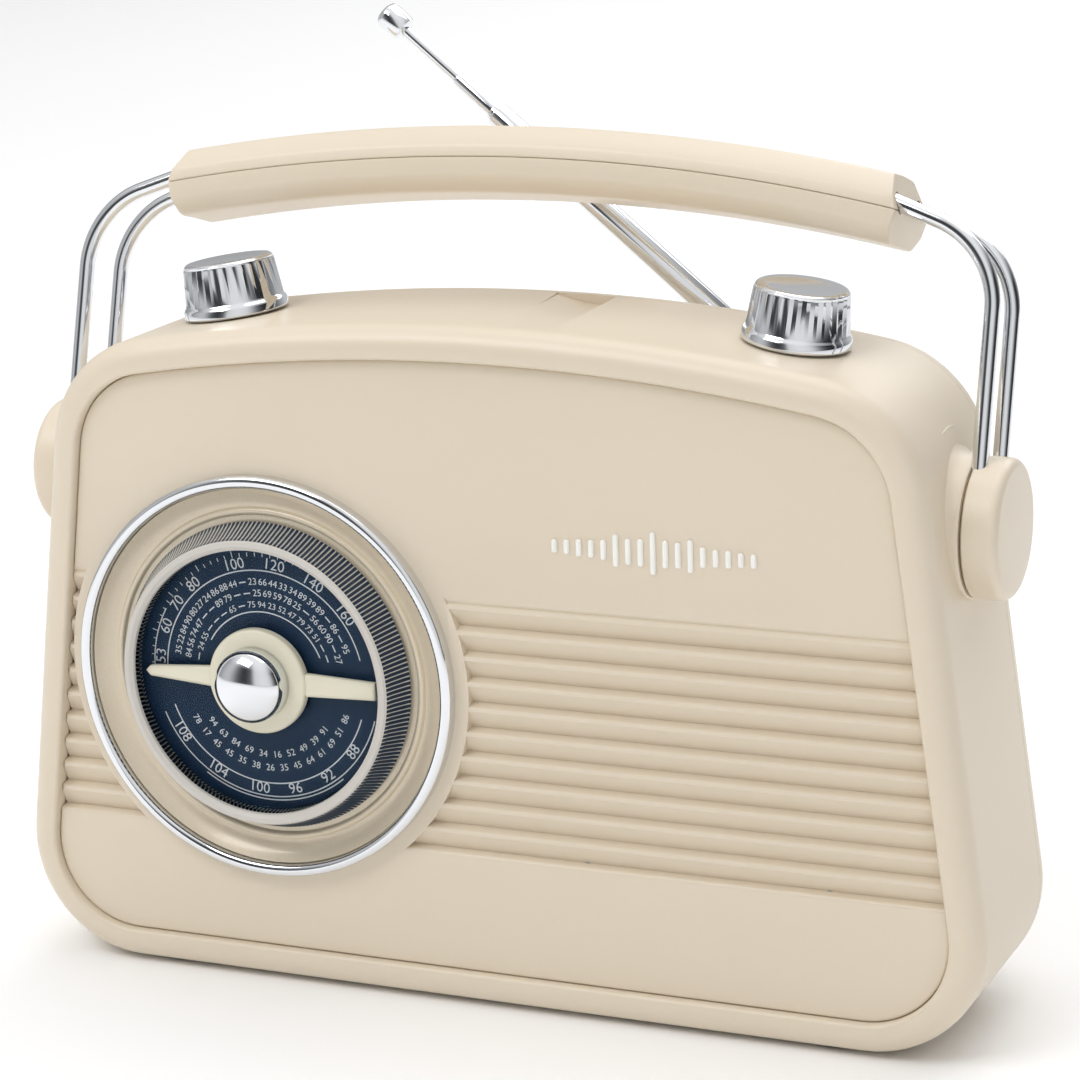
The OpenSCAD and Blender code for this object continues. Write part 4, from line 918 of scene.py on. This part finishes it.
# ---- Rear housing ----
# The back shell, moulded in the same cream ABS: it carries on the sides, turns in with a rounded edge and
# swells into a flat back that holds the cells. A channel in its shoulder takes the folded aerial, and the
# back has wells for four screws, six vents, and openings for the mains inlet and the headphone jack.
back_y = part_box("rear_housing")[1].y
BULGE_DEEP, SPLIT_GAP = 14 * MM, 0.12 * MM
bulge_y = back_y - BULGE_DEEP
BULGE_IN, BACK_R, FILLET = 8.5 * MM, 4.5 * MM, 3.0 * MM
draw_outline(split_y + SPLIT_GAP, 0.0)
side_run = bulge_y - split_y - SPLIT_GAP
rise_up = back_y - bulge_y
moves = [(0.0, side_run - BACK_R)]
moves += [(i, side_run - BACK_R + rise) for i, rise in rounded(BACK_R, 6)]
moves += [(BULGE_IN - FILLET + FILLET * math.sin(a), side_run + FILLET * (1 - math.cos(a)))
          for a in (0.0, math.pi / 8, math.pi / 4, 3 * math.pi / 8, math.pi / 2)]
moves += [(BULGE_IN + 0.3 * MM, side_run + rise_up - BACK_R)]
moves += [(BULGE_IN + 0.3 * MM + i, side_run + rise_up - BACK_R + rise) for i, rise in rounded(BACK_R, 6)]
step_in(moves, 1)
rear = close_up()


def block(low, high, soft=0.0):
    """A box between two corners, with its upright and level edges eased, to cut with or to shape further."""
    bpy.ops.object.select_all(action="DESELECT")
    low, high = Vector(low), Vector(high)
    bpy.ops.mesh.primitive_cube_add(size=1, scale=high - low, location=(low + high) / 2)
    bpy.ops.object.transform_apply()
    if soft:
        bpy.ops.object.mode_set(mode="EDIT")
        bpy.ops.mesh.select_all(action="SELECT")
        bpy.ops.mesh.bevel(offset=soft, segments=4, affect="EDGES", clamp_overlap=True)
        bpy.ops.object.mode_set(mode="OBJECT")
    return bpy.context.object


# The hollow behind the wall lets light and the inner parts show through the vents.
HOLLOW_IN = BULGE_IN + 6 * MM
draw_outline(split_y - 1 * MM, HOLLOW_IN)
step_in([(0.0, back_y - WALL - split_y + 1 * MM)], 1)
hollow = close_up()
channel_y = aerial_foot.y - 7 * MM
channel_z = aerial_foot.z - 7 * MM
CHANNEL_LEFT, CHANNEL_RIGHT = 136 * MM, 10 * MM
shelf = block((aerial_foot.x - CHANNEL_LEFT - WALL, channel_y - WALL, channel_z - WALL),
              (aerial_foot.x + CHANNEL_RIGHT + WALL, back_y + 5 * MM, crown_z + 5 * MM))
cut(hollow, shelf)
cut(rear, hollow)
cut(rear, block((aerial_foot.x - CHANNEL_LEFT, channel_y, channel_z),
                (aerial_foot.x + CHANNEL_RIGHT, back_y + 20 * MM, crown_z + 20 * MM), 1.2 * MM))
door_low, door_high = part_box("battery_door")
DOOR_GAP = 0.3 * MM
through, clear = back_y - 4 * MM, back_y + 2 * MM
cut(rear, block((door_low.x - DOOR_GAP, back_y - 4.4 * MM, door_low.z - DOOR_GAP),
                (door_high.x + DOOR_GAP, clear, door_high.z + DOOR_GAP)))
inlet_low, inlet_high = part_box("mains_inlet")
INLET_HALF_W, INLET_HALF_H = 10.7 * MM, 6.7 * MM
inlet_mid = (inlet_low + inlet_high) / 2
cut(rear, block((inlet_mid.x - INLET_HALF_W, through, inlet_mid.z - INLET_HALF_H),
                (inlet_mid.x + INLET_HALF_W, clear, inlet_mid.z + INLET_HALF_H)))
VENTS, VENT_X, VENT_Z, VENT_PITCH = 6, 36 * MM, 24 * MM, 5 * MM
VENT_W, VENT_H = 22 * MM, 1.8 * MM
for vent in range(VENTS):
    vent_z = VENT_Z + VENT_PITCH * vent
    cut(rear, block((VENT_X - VENT_W / 2, through, vent_z - VENT_H / 2),
                    (VENT_X + VENT_W / 2, clear, vent_z + VENT_H / 2)))
jack_low, jack_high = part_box("headphone_jack")
JACK_R = 4.1 * MM
jack_mid = (jack_low + jack_high) / 2
cut(rear, disc_tool(jack_mid.x, through, jack_mid.z, JACK_R, clear, 40))
screw_low, screw_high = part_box("housing_screws")
HEAD_R, WELL_R = 3.0 * MM, 3.4 * MM
low_screw, high_screw = (screw_high.x - HEAD_R, screw_low.z + HEAD_R), (88.6 * MM, screw_high.z - HEAD_R)
for side in (-1, 1):
    for well_x, well_z in (low_screw, high_screw):
        cut(rear, disc_tool(side * well_x, split_y + 3 * MM, well_z, WELL_R, clear, 40))
finish_piece("cabinet_rear", cream_abs, "root", 35, ["rear_housing"])

# ---- Battery cover ----
# A flat cover in cream ABS that clips into the back. A thumb notch near its top and four short grooves
# below it give the grip to pull it off.
door = block(door_low, door_high, 0.5 * MM)
door_mid_x = (door_low.x + door_high.x) / 2
notch_top = door_high.z - 3.5 * MM
GROOVES, GROOVE_PITCH, THUMB_HALF, GROOVE_HALF = 4, 2.4 * MM, 9 * MM, 0.55 * MM
cut(door, block((door_mid_x - THUMB_HALF, back_y - 1.2 * MM, notch_top - 4 * MM),
                (door_mid_x + THUMB_HALF, back_y + 3 * MM, notch_top), 0.8 * MM))
for groove in range(GROOVES):
    groove_z = notch_top - 7.5 * MM - groove * GROOVE_PITCH
    cut(door, block((door_mid_x - THUMB_HALF, back_y - 0.9 * MM, groove_z - GROOVE_HALF),
                    (door_mid_x + THUMB_HALF, clear, groove_z + GROOVE_HALF)))
finish_piece("battery_cover", cream_abs, "battery_cover", 40, ["battery_door"])

# ---- Inlet, jack, screws and feet ----
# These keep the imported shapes. The sockets are black nylon, spark-eroded to a fine grain, with turned brass
# pins. The screws are zinc-plated steel. The feet are moulded rubber discs, pressed into seats in the base.
black_nylon, tree, shader, place, speck = mottled("black nylon, fine grain", "#1B1B1C", "#262627", 2200.0,
                                                  3.0)
pits = node(tree, "ShaderNodeBump", {"Strength": 0.2, "Distance": 0.00005}, {"Height": speck.outputs["Fac"]})
tree.links.new(pits.outputs["Normal"], shader.inputs["Normal"])
shader.inputs["Roughness"].default_value = 0.42

rubber, tree, shader, place, _ = mottled("black moulded rubber, matt", "#222221", "#30302E", 300.0, 5.0)
shader.inputs["Roughness"].default_value = 0.85

zinc, tree, shader, place, spangle = mottled("zinc-plated steel", "#A9ABAE", "#C6C7C9", 700.0, 3.0)
shader.inputs["Metallic"].default_value = 1.0
dull = node(tree, "ShaderNodeMapRange", {"To Min": 0.25, "To Max": 0.42}, {"Value": spangle.outputs["Fac"]})
tree.links.new(dull.outputs["Result"], shader.inputs["Roughness"])

brass, tree, shader, place, _ = mottled("turned brass", "#B8954F", "#CFAE68", 1500.0)
shader.inputs["Metallic"].default_value = 1.0
shader.inputs["Roughness"].default_value = 0.25


def wear(material, *names):
    """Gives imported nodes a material."""
    for name in names:
        part = frame["nodes"][name]
        if not part.material_slots:
            part.data.materials.append(material)
        for held in part.material_slots:
            held.material = material


wear(black_nylon, "mains_inlet", "headphone_jack")
wear(brass, "inlet_pins")
wear(rubber, "rubber_feet")
wear(zinc, "housing_screws", "board_screws", "speaker_screws", "grip_screws", "tuning_shaft", "volume_shaft",
     "band_shaft", "shaft_nuts", "pivot_washers", "pivot_pins", "pivot_clips", "aerial_pin",
     "battery_contacts", "battery_springs", "volume_pot", "transformer_core")
wear(chrome_plate, "aerial_bracket", "aerial_knuckle")

# ---- Inside the cabinet ----
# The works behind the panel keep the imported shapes: a green circuit board with its parts, the loudspeaker
# with a black paper cone in a pressed steel basket, the ferrite rod with wound coils, and the battery tray.
wear(cream_abs, "battery_tray")
board, tree, shader, place = new_material("green solder-resist on glass-fibre board")
weave = node(tree, "ShaderNodeTexBrick", {"Scale": 400.0, "Mortar Size": 0.08}, {"Vector": place})
weave.inputs["Color1"].default_value = linear("#1E5A36")
weave.inputs["Color2"].default_value = linear("#226340")
weave.inputs["Mortar"].default_value = linear("#2F7A4E")
tree.links.new(weave.outputs["Color"], shader.inputs["Base Color"])
shader.inputs["Roughness"].default_value = 0.35
wear(board, "main_board")

cone_paper, tree, shader, place = new_material("pressed black cone paper")
fibre = node(tree, "ShaderNodeTexNoise", {"Scale": 1200.0, "Detail": 8.0}, {"Vector": place})
pulp = node(tree, "ShaderNodeBump", {"Strength": 0.5, "Distance": 0.0002}, {"Height": fibre.outputs["Fac"]})
tree.links.new(pulp.outputs["Normal"], shader.inputs["Normal"])
shader.inputs["Base Color"].default_value = linear("#242322")
shader.inputs["Roughness"].default_value = 0.9
wear(cone_paper, "speaker_cone")

basket, tree, shader, place = new_material("pressed steel, black enamel")
orange_peel = node(tree, "ShaderNodeTexNoise", {"Scale": 500.0}, {"Vector": place})
peel = node(tree, "ShaderNodeBump", {"Strength": 0.15, "Distance": 0.0001},
            {"Height": orange_peel.outputs["Fac"]})
tree.links.new(peel.outputs["Normal"], shader.inputs["Normal"])
shader.inputs["Base Color"].default_value = linear("#1D1D1F")
shader.inputs["Roughness"].default_value = 0.35
wear(basket, "speaker_frame", "speaker_magnet")

ferrite, tree, shader, place, _ = mottled("sintered ferrite, ground", "#2A2929", "#3D3B3A", 1800.0, 4.0)
shader.inputs["Roughness"].default_value = 0.6
wear(ferrite, "ferrite_rod")

copper, tree, shader, place = new_material("enamelled copper wire, wound, painted shade between turns")
# The bands stand for the turns: their dark part is painted shade between the wires, their pale part a painted
# highlight along each turn.
turns = node(tree, "ShaderNodeTexWave", {"Scale": 300.0, "bands_direction": "X"}, {"Vector": place})
wire = node(tree, "ShaderNodeValToRGB", links={"Fac": turns.outputs["Fac"]})
wire.color_ramp.elements[0].color = linear("#6B3418")
wire.color_ramp.elements[1].color = linear("#C07A48")
tree.links.new(wire.outputs["Color"], shader.inputs["Base Color"])
shader.inputs["Metallic"].default_value = 0.8
shader.inputs["Roughness"].default_value = 0.35
wear(copper, "ferrite_coils", "transformer_coil")

nylon, tree, shader, place, _ = mottled("natural nylon, moulded", "#CFC9B8", "#DDD8CA", 200.0)
shader.inputs["Roughness"].default_value = 0.5
wear(nylon, "tuning_capacitor", "band_switch", "ferrite_clips")
wear(black_nylon, "board_parts")
